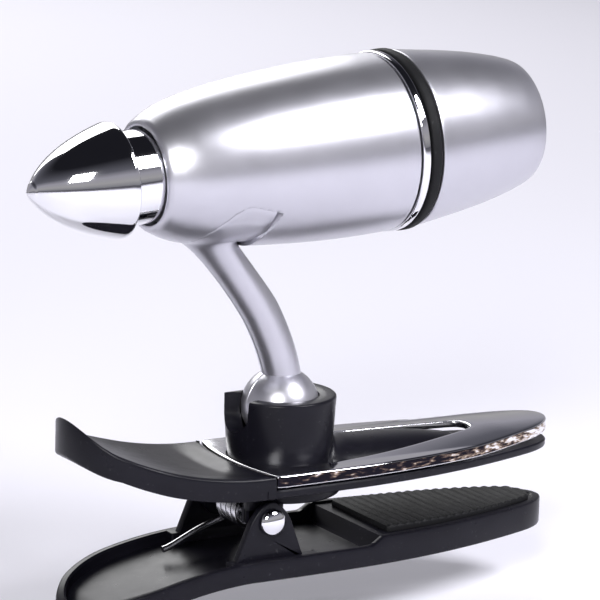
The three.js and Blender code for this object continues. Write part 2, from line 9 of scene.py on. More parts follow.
import bmesh
import bpy
import numpy as np
from mathutils import Matrix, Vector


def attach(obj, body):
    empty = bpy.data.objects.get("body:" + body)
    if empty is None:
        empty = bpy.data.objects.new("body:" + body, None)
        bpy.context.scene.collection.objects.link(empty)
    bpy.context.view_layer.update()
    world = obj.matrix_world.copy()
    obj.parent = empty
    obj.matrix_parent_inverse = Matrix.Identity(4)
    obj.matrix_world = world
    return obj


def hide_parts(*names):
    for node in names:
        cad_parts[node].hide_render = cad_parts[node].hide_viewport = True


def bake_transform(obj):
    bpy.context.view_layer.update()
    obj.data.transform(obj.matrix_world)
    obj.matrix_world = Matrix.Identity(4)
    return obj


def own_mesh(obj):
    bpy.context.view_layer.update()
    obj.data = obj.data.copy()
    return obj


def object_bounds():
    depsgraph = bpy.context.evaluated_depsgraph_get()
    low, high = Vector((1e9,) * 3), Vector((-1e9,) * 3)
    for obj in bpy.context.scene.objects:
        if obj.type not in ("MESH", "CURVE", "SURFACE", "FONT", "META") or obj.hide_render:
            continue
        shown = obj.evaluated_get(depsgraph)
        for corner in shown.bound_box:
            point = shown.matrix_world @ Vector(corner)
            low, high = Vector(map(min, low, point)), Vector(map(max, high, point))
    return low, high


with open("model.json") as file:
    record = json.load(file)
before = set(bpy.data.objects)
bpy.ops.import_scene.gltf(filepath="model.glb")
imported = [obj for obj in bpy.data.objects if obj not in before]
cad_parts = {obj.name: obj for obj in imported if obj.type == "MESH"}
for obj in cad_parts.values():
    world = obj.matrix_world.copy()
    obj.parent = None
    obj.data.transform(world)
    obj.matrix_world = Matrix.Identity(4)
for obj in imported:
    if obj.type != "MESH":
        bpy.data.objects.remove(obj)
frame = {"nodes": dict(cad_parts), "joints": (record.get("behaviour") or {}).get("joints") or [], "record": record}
CAD_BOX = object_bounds()
LOG = logging.getLogger("lamp")
MM = 0.001

Array = np.ndarray
Solid = tuple[Array, Array]  # vertices and faces of one closed surface
Point = Sequence[float]
Height = Callable[[Array, Array], Array]  # a height over x and y
Colour = tuple[float, float, float]
Stops = Sequence[tuple[float, Colour]]


# ---- places ---------------------------------------------------------------------------
@dataclass(frozen=True)
class Place:
    """A local frame in millimetres, set in the model's frame in metres."""

    origin: Array
    axes: Array

    def world(self, points: Array) -> Array:
        """Local millimetres to the model's metres.

        Args:
            points: coordinates, any shape ending in 3.

        Returns:
            The same shape, in metres.
        """
        return self.origin + (points @ self.axes) * MM


def joint(name: str) -> dict:
    """The record's entry for a joint."""
    return next(j for j in frame["joints"] if j["name"] == name)


BALL_HEIGHT = 7.1  # cover rim up to the ball's centre
HEAD_HEIGHT = 36.4  # ball's centre up to the head's long axis
BALL_CENTRE = np.array(joint("head_yaw")["pos_m"])
HEAD_AXIS = np.array(joint("cap_turn")["axis"])
CLIP = Place(BALL_CENTRE - np.array([0, 0, BALL_HEIGHT * MM]), np.eye(3))
HEAD = Place(
    BALL_CENTRE,
    np.array([HEAD_AXIS, [0, 1, 0], np.cross(HEAD_AXIS, [0, 1, 0])]),
)
PIN = (np.array(joint("clip_open")["pos_m"]) - CLIP.origin) / MM


# ---- curves and grids -----------------------------------------------------------------
def through(points: Sequence[Point], steps: int) -> Array:
    """A smooth open curve through points: Catmull-Rom pieces, each a cubic of its parameter.

    Args:
        points: the places it passes, in two or three dimensions.
        steps: pieces of line between neighbouring places.

    Returns:
        The curve's points.
    """
    p = np.asarray(points, float)
    p = np.vstack([2 * p[0] - p[1], p, 2 * p[-1] - p[-2]])
    t = np.linspace(0, 1, steps, endpoint=False)[None, :, None]
    a, b, c, d = (p[i : len(p) - 3 + i, None, :] for i in range(4))
    curve = 0.5 * (2 * b + (c - a) * t + (2 * a - 5 * b + 4 * c - d) * t**2 + (3 * b - a - 3 * c + d) * t**3)
    return np.vstack([curve.reshape(-1, p.shape[1]), p[-2]])


def bezier(a: Point, b: Point, c: Point, d: Point, steps: int) -> Array:
    """Points of a cubic Bezier curve from a to d, its last point left out."""
    t = np.linspace(0, 1, steps, endpoint=False)[:, None]
    p, q, r, s = (np.asarray(v, float) for v in (a, b, c, d))
    return p * (1 - t) ** 3 + 3 * q * t * (1 - t) ** 2 + 3 * r * t * t * (1 - t) + s * t**3


def filleted(corners: Sequence[Point], steps: int = 5) -> Array:
    """A broken line whose corners are rounded.

    Each corner is (x, y, radius). A corner's arc is a quadratic curve between the two points
    that lie one radius from it along its sides, which is close to round on a square corner.

    Args:
        corners: the corners in order; the first and last stay sharp.
        steps: points on each arc.

    Returns:
        The line's points, as (x, y).
    """
    out = [np.array([corners[0][:2]], float)]
    t = np.linspace(0, 1, steps)[:, None]
    for before, corner, after in zip(corners, corners[1:], corners[2:]):
        p, q, r = (np.array(v[:2], float) for v in (before, corner, after))
        radius = corner[2] if len(corner) > 2 else 0
        if not radius:
            out.append(q[None])
            continue
        start = q + (p - q) * min(radius / np.linalg.norm(p - q), 0.5)
        end = q + (r - q) * min(radius / np.linalg.norm(r - q), 0.5)
        out.append(start * (1 - t) ** 2 + 2 * q * t * (1 - t) + end * t**2)
    out.append(np.array([corners[-1][:2]], float))
    return np.vstack(out)


def evened(curve: Array, count: int) -> Array:
    """A curve's points again, at equal steps of its length."""
    along = np.concatenate([[0], np.cumsum(np.linalg.norm(np.diff(curve, axis=0), axis=1))])
    places = np.linspace(0, along[-1], count)
    return np.stack([np.interp(places, along, curve[:, i]) for i in range(curve.shape[1])], 1)


def mirrored(half: Array) -> Array:
    """A closed outline from its near half, whose first and last points lie on the middle line."""
    return np.vstack([half, half[-2:0:-1] * [1, -1]])


def quads(rows: int, columns: int, wrap_rows: bool, wrap_columns: bool) -> Array:
    """The four corners of every cell of a grid, as vertex numbers."""
    i = np.arange(rows if wrap_rows else rows - 1)[:, None]
    j = np.arange(columns if wrap_columns else columns - 1)[None, :]
    at = lambda a, b: (a % rows) * columns + b % columns
    cells = np.stack([at(i, j), at(i, j + 1), at(i + 1, j + 1), at(i + 1, j)], -1)
    return cells.reshape(-1, 4)


def island(grid: Array, wrap_rows: bool = True, wrap_columns: bool = False) -> Solid:
    """A grid of points as vertices and faces; rows or columns may close on themselves."""
    rows, columns = grid.shape[:2]
    return grid.reshape(-1, 3), quads(rows, columns, wrap_rows, wrap_columns)


def turned(profile: Array, sides: int = 128, height: float = 0.0) -> Array:
    """A profile of (along, radius) turned about X at a height.

    A point is (along, radius times sine, height plus radius times cosine) of the angle round.

    Returns:
        A grid with one row for each angle.
    """
    angle = np.linspace(0, 2 * np.pi, sides, endpoint=False)[:, None]
    along, radius = profile[None, :, 0], profile[None, :, 1]
    return np.stack(
        [along + 0 * angle, radius * np.sin(angle), height + radius * np.cos(angle)], -1
    )


def upright(grid: Array) -> Array:
    """A grid turned about X, stood up so that its axis is Z."""
    return np.stack([-grid[..., 2], grid[..., 1], grid[..., 0]], -1)


def swept(path: Array, radius: float, sides: int) -> Array:
    """A round section carried along a path.

    The section's first direction is carried along by removing what lies along the path at each
    step, so that it doesn't twist. Its ends close on the path's end points.

    Args:
        path: the centre line's points.
        radius: the section's radius.
        sides: points round the section.

    Returns:
        A grid with a row for each point of the path, and one at each end for its closed end.
    """
    tangent = np.gradient(path, axis=0)
    tangent /= np.linalg.norm(tangent, axis=1, keepdims=True)
    across = np.zeros_like(path)
    last = np.cross(tangent[0], [0.13, 0.91, 0.37])
    for i, t in enumerate(tangent):
        last = last - t * (last @ t)
        last /= np.linalg.norm(last)
        across[i] = last
    other = np.cross(tangent, across)
    angle = np.linspace(0, 2 * np.pi, sides, endpoint=False)[None, :, None]
    ring = path[:, None] + radius * (across[:, None] * np.cos(angle) + other[:, None] * np.sin(angle))
    ends = np.repeat(path[[0, -1]][:, None], sides, 1)
    return np.concatenate([ends[:1], ring, ends[1:]])


def smooth_step(value: Array, low: float, high: float) -> Array:
    """0 below low, 1 above high, and a smooth S between."""
    t = np.clip((value - low) / (high - low), 0, 1)
    return t * t * (3 - 2 * t)


# ---- finishes -------------------------------------------------------------------------
class Grain(Enum):
    """How a finish's fine relief runs."""

    PEBBLED = "pebbled"
    BRUSHED = "brushed"


def fill(ramp: bpy.types.ShaderNodeValToRGB, stops: Stops) -> None:
    """Sets a colour ramp's stops, adding those that it lacks."""
    elements = ramp.color_ramp.elements
    while len(elements) < len(stops):
        elements.new(0.5)
    for element, (position, colour) in zip(elements, stops):
        element.position = position
        element.color = (*colour, 1)


@dataclass(frozen=True)
class Graph:
    """A material's nodes and links, with the few kinds of node that finishes share."""

    nodes: bpy.types.Nodes
    links: bpy.types.NodeLinks

    def noise(self, place: bpy.types.NodeSocket, scale: float, detail: float) -> bpy.types.NodeSocket:
        """A noise value on object coordinates."""
        noise = self.nodes.new("ShaderNodeTexNoise")
        noise.inputs["Scale"].default_value = scale
        noise.inputs["Detail"].default_value = detail
        self.links.new(place, noise.inputs["Vector"])
        return noise.outputs["Fac"]

    def stretched(self, place: bpy.types.NodeSocket, scale: Point) -> bpy.types.NodeSocket:
        """Object coordinates, scaled along each axis."""
        stretch = self.nodes.new("ShaderNodeMapping")
        stretch.inputs["Scale"].default_value = scale
        self.links.new(place, stretch.inputs["Vector"])
        return stretch.outputs["Vector"]

    def mixed(self, share: bpy.types.NodeSocket, colour: bpy.types.NodeSocket) -> bpy.types.ShaderNodeMix:
        """A mix of colours whose first is set, ready for its second."""
        mix = self.nodes.new("ShaderNodeMix")
        mix.data_type = "RGBA"
        self.links.new(share, mix.inputs["Factor"])
        self.links.new(colour, mix.inputs["A"])
        return mix


@dataclass(frozen=True)
class Finish:
    """A surface: colour with slight variation, uneven gloss and a fine relief.

    Sizes are in features per metre of the object.
    """

    name: str
    colour: Colour
    metallic: float = 0.0
    roughness: float = 0.4
    uneven: float = 0.06
    tint: float = 0.06
    cloud: float = 120.0
    grain: Grain = Grain.PEBBLED
    grain_size: float = 9000.0
    relief: float = 0.02
    specular: float = 0.5
    coat: float = 0.0
    coat_roughness: float = 0.1
    clear: float = 0.0
    wear: float = 0.0
    # Whether the finish gets a painted reflection of its surroundings where the piece's "side" attribute is 1.
    rim_reflection_painted: bool = False

    def made(self) -> bpy.types.Material:
        """The finish as a node material."""
        material = bpy.data.materials.new(self.name)
        material.use_nodes = True
        graph = Graph(material.node_tree.nodes, material.node_tree.links)
        nodes, links = graph.nodes, graph.links
        shader = nodes["Principled BSDF"]
        for socket, value in (
            ("Metallic", self.metallic), ("Specular IOR Level", self.specular), ("Coat Weight", self.coat),
            ("Coat Roughness", self.coat_roughness), ("Transmission Weight", self.clear), ("IOR", 1.5),
        ):
            shader.inputs[socket].default_value = value
        place = nodes.new("ShaderNodeTexCoord").outputs["Object"]
        clouds = graph.noise(place, self.cloud, 4)
        shades = nodes.new("ShaderNodeValToRGB")
        fill(shades, [
            (position, tuple(min(1.0, part * factor) for part in self.colour))
            for position, factor in ((0.3, 1 - self.tint), (0.7, 1 + self.tint))
        ])
        links.new(clouds, shades.inputs["Fac"])
        colour = self.worn(graph, shades.outputs["Color"], place)
        if self.rim_reflection_painted:
            colour = self.with_painted_reflection(graph, colour, place)
        links.new(colour, shader.inputs["Base Color"])
        gloss = nodes.new("ShaderNodeMapRange")
        gloss.inputs["To Min"].default_value = max(0.0, self.roughness - self.uneven)
        gloss.inputs["To Max"].default_value = self.roughness + self.uneven
        links.new(graph.noise(place, self.cloud * 3.1, 6), gloss.inputs["Value"])
        links.new(gloss.outputs["Result"], shader.inputs["Roughness"])
        bump = nodes.new("ShaderNodeBump")
        bump.inputs["Strength"].default_value = 0.5
        bump.inputs["Distance"].default_value = self.relief * MM
        links.new(self.raised(graph, place), bump.inputs["Height"])
        links.new(bump.outputs["Normal"], shader.inputs["Normal"])
        return material

    def raised(self, graph: Graph, place: bpy.types.NodeSocket) -> bpy.types.NodeSocket:
        """The height of the finish's grain."""
        scale = (0.04, 1, 1) if self.grain is Grain.BRUSHED else (1, 1, 1)
        return graph.noise(graph.stretched(place, scale), self.grain_size, 2)

    def with_painted_reflection(
        self, graph: Graph, colour: bpy.types.NodeSocket, place: bpy.types.NodeSocket,
    ) -> bpy.types.NodeSocket:
        """The colour, with a painted reflection of dark and warm surroundings, in blotches where the piece's
        "side" attribute is 1.

        The painted reflection grows lighter along X, towards the jaw's tip.
        """
        nodes, links = graph.nodes, graph.links
        # Colours of the painted reflection on the chrome rim.
        reflection_ramp = nodes.new("ShaderNodeValToRGB")
        fill(reflection_ramp, PAINTED_REFLECTION_STOPS)
        along = nodes.new("ShaderNodeSeparateXYZ")
        links.new(place, along.inputs["Vector"])
        lift = nodes.new("ShaderNodeMapRange")
        for socket, value in (("From Min", -0.010), ("From Max", 0.012), ("To Min", -0.10), ("To Max", 0.10)):
            lift.inputs[socket].default_value = value
        links.new(along.outputs["X"], lift.inputs["Value"])
        total = nodes.new("ShaderNodeMath")
        links.new(graph.noise(graph.stretched(place, (0.45, 0.45, 1.6)), 1500.0, 5), total.inputs[0])
        links.new(lift.outputs["Result"], total.inputs[1])
        links.new(total.outputs["Value"], reflection_ramp.inputs["Fac"])
        side = nodes.new("ShaderNodeAttribute")
        side.attribute_name = "side"
        mix = graph.mixed(side.outputs["Fac"], colour)
        links.new(reflection_ramp.outputs["Color"], mix.inputs["B"])
        return mix.outputs["Result"]

    def worn(
        self, graph: Graph, colour: bpy.types.NodeSocket, place: bpy.types.NodeSocket,
    ) -> bpy.types.NodeSocket:
        """The colour, lightened in sparse specks where the finish is worn or dusty."""
        if not self.wear:
            return colour
        specks = graph.nodes.new("ShaderNodeMapRange")
        for socket, value in (("From Min", 0.66), ("From Max", 0.74), ("To Max", self.wear)):
            specks.inputs[socket].default_value = value
        graph.links.new(graph.noise(place, 1500.0, 3), specks.inputs["Value"])
        mix = graph.mixed(specks.outputs["Result"], colour)
        mix.inputs["B"].default_value = (0.5, 0.5, 0.52, 1)
        return mix.outputs["Result"]


# Painted reflection for the cover's chrome rim: near black and brown for the dark surroundings and the book it
# mirrors, then near white.
PAINTED_REFLECTION_STOPS: Stops = (
    (0.40, (0.012, 0.011, 0.016)), (0.50, (0.10, 0.07, 0.06)), (0.57, (0.42, 0.33, 0.24)),
    (0.66, (0.85, 0.85, 0.88)),
)
FINISHES = {
    "satin_silver": Finish(
        "satin silver", (0.52, 0.515, 0.56), 0.9, 0.33, 0.04, 0.03, 90, Grain.PEBBLED, 16000, 0.006,
        coat=0.25, coat_roughness=0.25,
    ),
    "bright_chrome": Finish(
        "bright chrome", (0.80, 0.80, 0.82), 1.0, 0.055, 0.025, 0.02, 260, Grain.PEBBLED, 700, 0.004,
    ),
    "black_plastic": Finish(
        "black plastic", (0.006, 0.0057, 0.009), 0.0, 0.30, 0.07, 0.2, 150, Grain.PEBBLED, 9000, 0.008,
        specular=0.16, wear=0.03,
    ),
    "inner_plastic": Finish(
        "inner plastic", (0.03, 0.03, 0.034), 0.0, 0.55, 0.08, 0.15, 150, Grain.PEBBLED, 6000, 0.03,
    ),
    "rubber": Finish(
        "rubber", (0.005, 0.005, 0.006), 0.0, 0.62, 0.08, 0.2, 200, Grain.PEBBLED, 7000, 0.03,
        specular=0.2, wear=0.03,
    ),
    "spring_steel": Finish(
        "spring steel", (0.60, 0.60, 0.62), 1.0, 0.22, 0.07, 0.06, 300, Grain.BRUSHED, 8000, 0.02,
    ),
    "cell_steel": Finish(
        "cell steel", (0.66, 0.66, 0.67), 1.0, 0.26, 0.07, 0.04, 200, Grain.BRUSHED, 7000, 0.015,
    ),
    "brass": Finish("brass", (0.72, 0.52, 0.22), 1.0, 0.3, 0.08, 0.08, 200, Grain.BRUSHED, 6000, 0.02),
    "board_green": Finish(
        "board green", (0.02, 0.11, 0.055), 0.0, 0.35, 0.06, 0.2, 300, Grain.PEBBLED, 3000, 0.03,
    ),
    "phosphor": Finish("phosphor", (0.90, 0.72, 0.18), 0.0, 0.3, 0.05, 0.08, 900, Grain.PEBBLED, 8000, 0.01),
    "clear_lens": Finish(
        "clear lens", (0.95, 0.97, 0.98), 0.0, 0.03, 0.02, 0.01, 300, Grain.PEBBLED, 900, 0.002, clear=1.0,
    ),
}
DRESSED: dict[str, bpy.types.Material] = {}


def material_of(slot: str) -> bpy.types.Material:
    """The one material made for a slot."""
    if slot not in DRESSED:
        DRESSED[slot] = FINISHES[slot].made()
    return DRESSED[slot]


# ---- pieces ---------------------------------------------------------------------------
BODY_OF = {
    node: body for body, members in frame["record"]["behaviour"]["bodies"].items() for node in members
}
SLOT_OF = {entry["node"]: entry["material_slot"] for entry in frame["record"]["subparts"]}


def made(name: str, islands: Sequence[Solid], place: Place, sharp_degrees: float = 38) -> bpy.types.Object:
    """Puts grids in a mesh, closes their poles and turns their faces outwards.

    Args:
        name: the piece's name.
        islands: vertices and faces of each closed surface, in the place's millimetres.
        place: the local frame.
        sharp_degrees: edges that fold more than this are shaded sharp.

    Returns:
        The object, at the origin.
    """
    offset, vertices, faces = 0, [], []
    for points, cells in islands:
        vertices.append(points)
        faces.append(cells + offset)
        offset += len(points)
    mesh = bpy.data.meshes.new(name)
    mesh.from_pydata(place.world(np.vstack(vertices)).tolist(), [], np.vstack(faces).tolist())
    work = bmesh.new()
    work.from_mesh(mesh)
    bmesh.ops.remove_doubles(work, verts=work.verts, dist=2e-6)
    bmesh.ops.dissolve_degenerate(work, edges=work.edges, dist=1e-7)
    bmesh.ops.recalc_face_normals(work, faces=work.faces)
    work.to_mesh(mesh)
    work.free()
    mesh.validate()
    mesh.shade_smooth()
    mesh.set_sharp_from_angle(angle=math.radians(sharp_degrees))
    piece = bpy.data.objects.new(name, mesh)
    bpy.context.scene.collection.objects.link(piece)
    return piece


def stands_for(
    node: str, islands: Sequence[Solid], place: Place, sharp_degrees: float = 38,
) -> bpy.types.Object:
    """Makes the fine piece for a CAD node, with its body, slot and finish.

    Returns:
        The piece.
    """
    piece = made(f"{node}_fine", islands, place, sharp_degrees)
    piece.data.materials.append(material_of(SLOT_OF[node]))
    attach(piece, BODY_OF[node])
    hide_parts(node)
    LOG.info("%s: %d faces on %s", piece.name, len(piece.data.polygons), BODY_OF[node])
    return piece


# ---- head -----------------------------------------------------------------------------
@dataclass(frozen=True)
class Saddle:
    """Where the arm's saddle lies in the shell's underside, seen in plan."""

    rear: float = -16.3
    shoulder: float = -9.0
    front: float = -6.5
    flat: float = 5.6
    sweep: float = 1.8
    half_width: float = 10.6
    sunk: float = 0.6
    thick: float = 1.1

    def inside(self, x: Array, y: Array) -> Array:
        """How far a plan point lies inside the saddle's outline, in millimetres.

        The front edge is straight in the middle and runs forward, as a parabola, where it
        climbs the sides. Behind the shoulder the sides close in as half an ellipse.
        """
        climb = np.maximum(np.abs(y) - self.flat, 0) / (self.half_width - self.flat)
        forward = self.front + self.sweep * climb**2 - x
        back = np.clip((self.shoulder - x) / (self.shoulder - self.rear), 0, 1)
        sideways = self.half_width * np.sqrt(1 - back**2) - np.abs(y)
        return np.minimum(forward, np.minimum(sideways, x - self.rear))

    def sink(self, x: Array, y: Array) -> Array:
        """How deep the saddle's face lies under the shell's: flush at the rear and up the sides."""
        return self.sunk * smooth_step(x, -13.0, -8.0) * (1 - smooth_step(np.abs(y), 4.5, 9.5))


@dataclass(frozen=True)
class Shell:
    """The head's silver body, with its collar, bores and the recess for the saddle."""

    saddle: Saddle = field(default_factory=Saddle)
    outside: tuple[tuple[float, float], ...] = (
        (-20.45, 8.05), (-18.6, 9.1), (-16, 10.05), (-12, 10.95), (-7, 11.7), (-1, 12.3), (5, 12.72),
        (11, 12.92), (16.25, 12.88),
    )
    collar: float = 11.2
    sides: int = 220

    def radius(self, x: Array) -> Array:
        """The outer radius at a place along the axis."""
        curve = through(self.outside, 12)
        return np.interp(x, curve[:, 0], curve[:, 1])

    def build(self) -> None:
        """Turns the profile and sinks the recess into its underside."""
        curve = evened(through(self.outside, 14), 150)
        lip = filleted([(-19.6, 6.95), (-21, 6.95, 0.25), (-20.95, 7.55, 0.35), tuple(curve[0])], 6)[:-1]
        rest = filleted([
            tuple(curve[-1]), (16.6, 12.86, 0.25), (16.6, self.collar), (24.4, self.collar, 0.3),
            (24.4, 10.4, 0.2), (-2, 10.4), (-2, 8.1), (-12.5, 8.1), (-12.5, 7.3), (-19.6, 7.3), (-19.6, 6.95),
        ])[1:]
        grid = turned(np.vstack([lip, curve, rest]), self.sides)
        outer = slice(len(lip), len(lip) + len(curve))
        x, y, z = (grid[:, outer, i] for i in range(3))
        below = smooth_step(-z, 1.2, 2.2)
        depth = smooth_step(self.saddle.inside(x, y) - 0.05, 0, 0.2) * below
        shrink = 1 - depth * (self.saddle.sink(x, y) + self.saddle.thick) / np.hypot(y, z)
        grid[:, outer, 1] *= shrink
        grid[:, outer, 2] *= shrink
        grid[..., 2] += HEAD_HEIGHT
        stands_for("body_shell", [island(grid, True, True)], HEAD, 50)


@dataclass(frozen=True)
class Nose:
    """The bright pointed button on its narrower neck."""

    tip: float = -38.85
    base: float = -26.1
    radius: float = 8.15

    def build(self) -> None:
        """Turns an ogive, its rounded skirt, the neck and the hollow inside."""
        t = np.linspace(0, 1, 60)[:, None]
        start, pull, end = np.array([self.tip, 0]), np.array([-36.0, 5.5]), np.array([self.base, self.radius])
        ogive = start * (1 - t) ** 2 + 2 * pull * t * (1 - t) + end * t**2
        ogive[:8, 1] = np.sqrt(np.maximum(0, ogive[:8, 1] ** 2 + 0.2 * ogive[:8, 1]))
        rest = filleted([
            (self.base, self.radius), (-25.4, self.radius, 0.35), (-25.3, 6.6), (-25.0, 6.6, 0.1),
            (-19.2, 6.6), (-19.2, 7, 0.1), (-17.6, 7, 0.1), (-17.6, 5.5, 0.1), (-27, 5.5), (-28, 4.5),
            (-28, 0),
        ])[1:]
        grid = turned(np.vstack([ogive, rest]), 160, HEAD_HEIGHT)
        stands_for("nose_button", [island(grid)], HEAD, 45)


@dataclass(frozen=True)
class FrontEnd:
    """Trim ring, seal ring and the tapering cap."""

    cap_outside: tuple[tuple[float, float], ...] = (
        (20.75, 12.88), (24, 12.45), (28.5, 11.85), (33, 11.1), (37, 10.2), (39.6, 9.4),
    )

    def build(self) -> None:
        """Turns the three pieces."""
        trim = filleted([
            (16.9, 11.5), (16.9, 13.05, 0.4), (18.2, 13.05, 0.4), (18.2, 11.5), (16.9, 11.5),
        ], 8)
        seal = filleted([
            (18.5, 11.5), (18.5, 13.15, 0.5), (20.1, 13.15, 0.5), (20.1, 11.5), (18.5, 11.5),
        ], 8)
        for node, profile in (("chrome_ring", trim), ("seal_ring", seal)):
            stands_for(node, [island(turned(profile, 160, HEAD_HEIGHT))], HEAD)
        outside = evened(through(self.cap_outside, 8), 60)
        head = filleted([(20.4, 11.5), (20.4, 12.88, 0.3), tuple(outside[0])])[:-1]
        rest = filleted([
            tuple(outside[-1]), (40.85, 8.8, 0.9), (40.85, 7.75, 0.3), (40.6, 7.7), (40.6, 8.7), (38.2, 9),
            (36.6, 9.2), (28, 10.4), (25.2, 10.9), (25.2, 11.5), (20.4, 11.5),
        ], 8)[1:]
        stands_for("front_cap", [island(turned(np.vstack([head, outside, rest]), 160, HEAD_HEIGHT))], HEAD)


@dataclass(frozen=True)
class Optics:
    """Lens, reflector and light source at the front of the head."""

    focus: float = 14.5
    opening: float = 2.42

    def build(self) -> None:
        """The bowl is a paraboloid, the lens a shallow dome and the source a domed resin."""
        x = np.linspace(16.6, 38.2, 60)
        bowl = np.sqrt(self.opening * (x - self.focus))
        inner = np.stack([x, bowl], 1)
        outer = np.stack([x[:-3], bowl[:-3] + 0.8], 1)[::-1]
        rim = [(38.7, bowl[-1]), (38.7, 8.7), (37.9, 8.7)]
        grid = turned(np.vstack([inner, rim, outer, inner[:1]]), 120, HEAD_HEIGHT)
        stands_for("reflector", [island(grid)], HEAD)
        r = np.linspace(8.4, 0, 30)
        dome = np.stack([40.3 - 0.35 * (r / 8.4) ** 2, r], 1)
        lens = np.vstack([[(39, 0), (39, 8.4)], dome])
        stands_for("lens", [island(turned(lens, 120, HEAD_HEIGHT))], HEAD, 25)
        a = np.linspace(0, np.pi / 2, 12)
        resin = np.stack([14.5 + 1.45 * np.sin(a), 1.75 * np.cos(a)], 1)
        base = filleted([(13.9, 0), (13.9, 2.5, 0.1), (14.5, 2.5, 0.15), (14.5, 1.75)])
        stands_for("led", [island(turned(np.vstack([base, resin]), 64, HEAD_HEIGHT))], HEAD)


@dataclass(frozen=True)
class Arm:
    """Ball, curved stem with its parting line, and the saddle under the shell."""

    shell: Shell
    ball: float = 5.68
    stem: float = 2.8
    foot: tuple[float, float] = (0.6, 0)
    bend: tuple[float, float] = (1.2, 12)
    top: tuple[float, float] = (-12.5, 29)
    seam_depth: float = 0.16
    seam_width: float = 0.16
    leave: float = 0.53  # where along the stem its flare begins
    landing: tuple[float, float, float] = (-11.5, 4.65, 4.0)  # centre and half axes on the saddle

    def seam(self, distance: Array) -> Array:
        """Depth of the parting line's V groove at a distance from the middle plane."""
        return self.seam_depth * np.clip(1 - np.abs(distance) / self.seam_width, 0, 1)

    def ball_island(self) -> Solid:
        """A sphere about Y, less the groove round its middle."""
        lean = np.linspace(-np.pi / 2, np.pi / 2, 120)
        lean = np.sort(np.concatenate([lean, np.linspace(-0.035, 0.035, 9)]))[:, None]
        angle = np.linspace(0, 2 * np.pi, 128, endpoint=False)[None, :]
        radius = self.ball - self.seam(self.ball * np.sin(lean))
        grid = np.stack(
            [radius * np.cos(lean) * np.cos(angle), radius * np.sin(lean) + 0 * angle,
             radius * np.cos(lean) * np.sin(angle)], -1,
        )
        return island(grid, False, True)

    def ring_angles(self) -> Array:
        """Angles round the stem, closer together at the two seams."""
        even = np.linspace(0, 2 * np.pi, 72, endpoint=False)
        near = np.array([-0.055, -0.03, 0.03, 0.055])
        return np.sort(np.concatenate([even, near % (2 * np.pi), np.pi + near]))

    def stem_ring(self, t: Array, angle: Array) -> tuple[Array, Array]:
        """Rings of the stem about a quadratic curve, and the curve's direction.

        Args:
            t: places along the curve, 0 at the ball's centre.
            angle: angles round the stem, 0 on its front.

        Returns:
            The rings' points, and the unit direction at each place.
        """
        t = t[:, None]
        start, bend, top = (np.array(v, float) for v in (self.foot, self.bend, self.top))
        centre = start * (1 - t) ** 2 + 2 * bend * t * (1 - t) + top * t**2
        way = 2 * (bend - start) * (1 - t) + 2 * (top - bend) * t
        way /= np.linalg.norm(way, axis=1, keepdims=True)
        radius = self.stem - self.seam(self.stem * np.sin(angle))[None, :]
        out = radius * np.cos(angle)
        ring = np.stack([
            centre[:, :1] + out * way[:, 1:],
            radius * np.sin(angle) + 0 * t,
            centre[:, 1:] - out * way[:, :1],
        ], -1)
        return ring, np.stack([way[:, 0], 0 * way[:, 0], way[:, 1]], 1)

    def on_shell(self, x: Array, y: Array, inset: float = 0.0) -> Array:
        """Points on the saddle's face under the shell, moved in by an inset."""
        radius = self.shell.radius(x) - self.shell.saddle.sink(x, y) - inset
        return np.stack([x, y, HEAD_HEIGHT - np.sqrt(np.maximum(radius**2 - y**2, 1))], -1)

    def build(self) -> None:
        """Lofts the stem into its flare, over the saddle and round its edge."""
        angle = self.ring_angles()
        rings, ways = self.stem_ring(np.linspace(0.12, self.leave, 60), angle)
        saddle = self.shell.saddle
        cx, half_x, half_y = self.landing
        cos, sin = np.cos(angle), np.sin(angle)
        land = self.on_shell(cx + half_x * cos, half_y * sin)
        grow = np.linspace(0, 1, 16)[1:, None]
        start = np.hypot(half_x * cos, half_y * sin)
        way_x, way_y = half_x * cos / start, half_y * sin / start
        reach = np.linspace(0, 16, 1601)[:, None]
        inside = saddle.inside(cx + reach * way_x, reach * way_y) > 0
        edge = reach[:, 0][np.argmin(inside, 0)]
        spread = start + (edge - 0.05 - start) * grow
        flat = self.on_shell(cx + spread * way_x, spread * way_y)
        wall = np.stack([
            self.on_shell(cx + edge * way_x, edge * way_y, saddle.thick * d) for d in (0.1, 0.4, 0.97)
        ])
        shrink = np.linspace(1, 0, 6)[1:, None]
        under = self.on_shell(cx + shrink * edge * way_x, shrink * edge * way_y, saddle.thick * 0.97)
        s = np.linspace(0, 1, 26)[1:-1, None, None]
        first, last = rings[-1], land
        leave = ways[-1][None, :] * 9.0
        spring = (1.2 + 6.5 * (0.5 - 0.5 * cos) ** 1.5)[:, None]
        arrive = np.stack([way_x, way_y, 0 * way_x], -1) * spring
        fillet = (
            first * (2 * s**3 - 3 * s**2 + 1) + leave * (s**3 - 2 * s**2 + s)
            + last * (3 * s**2 - 2 * s**3) + arrive * (s**3 - s**2)
        )
        pole = np.repeat(rings[:1].mean(1, keepdims=True), len(angle), 1)
        loft = np.concatenate([pole, rings, fillet, land[None], flat, wall, under])
        stands_for("arm", [self.ball_island(), island(loft, False, True)], HEAD, 50)


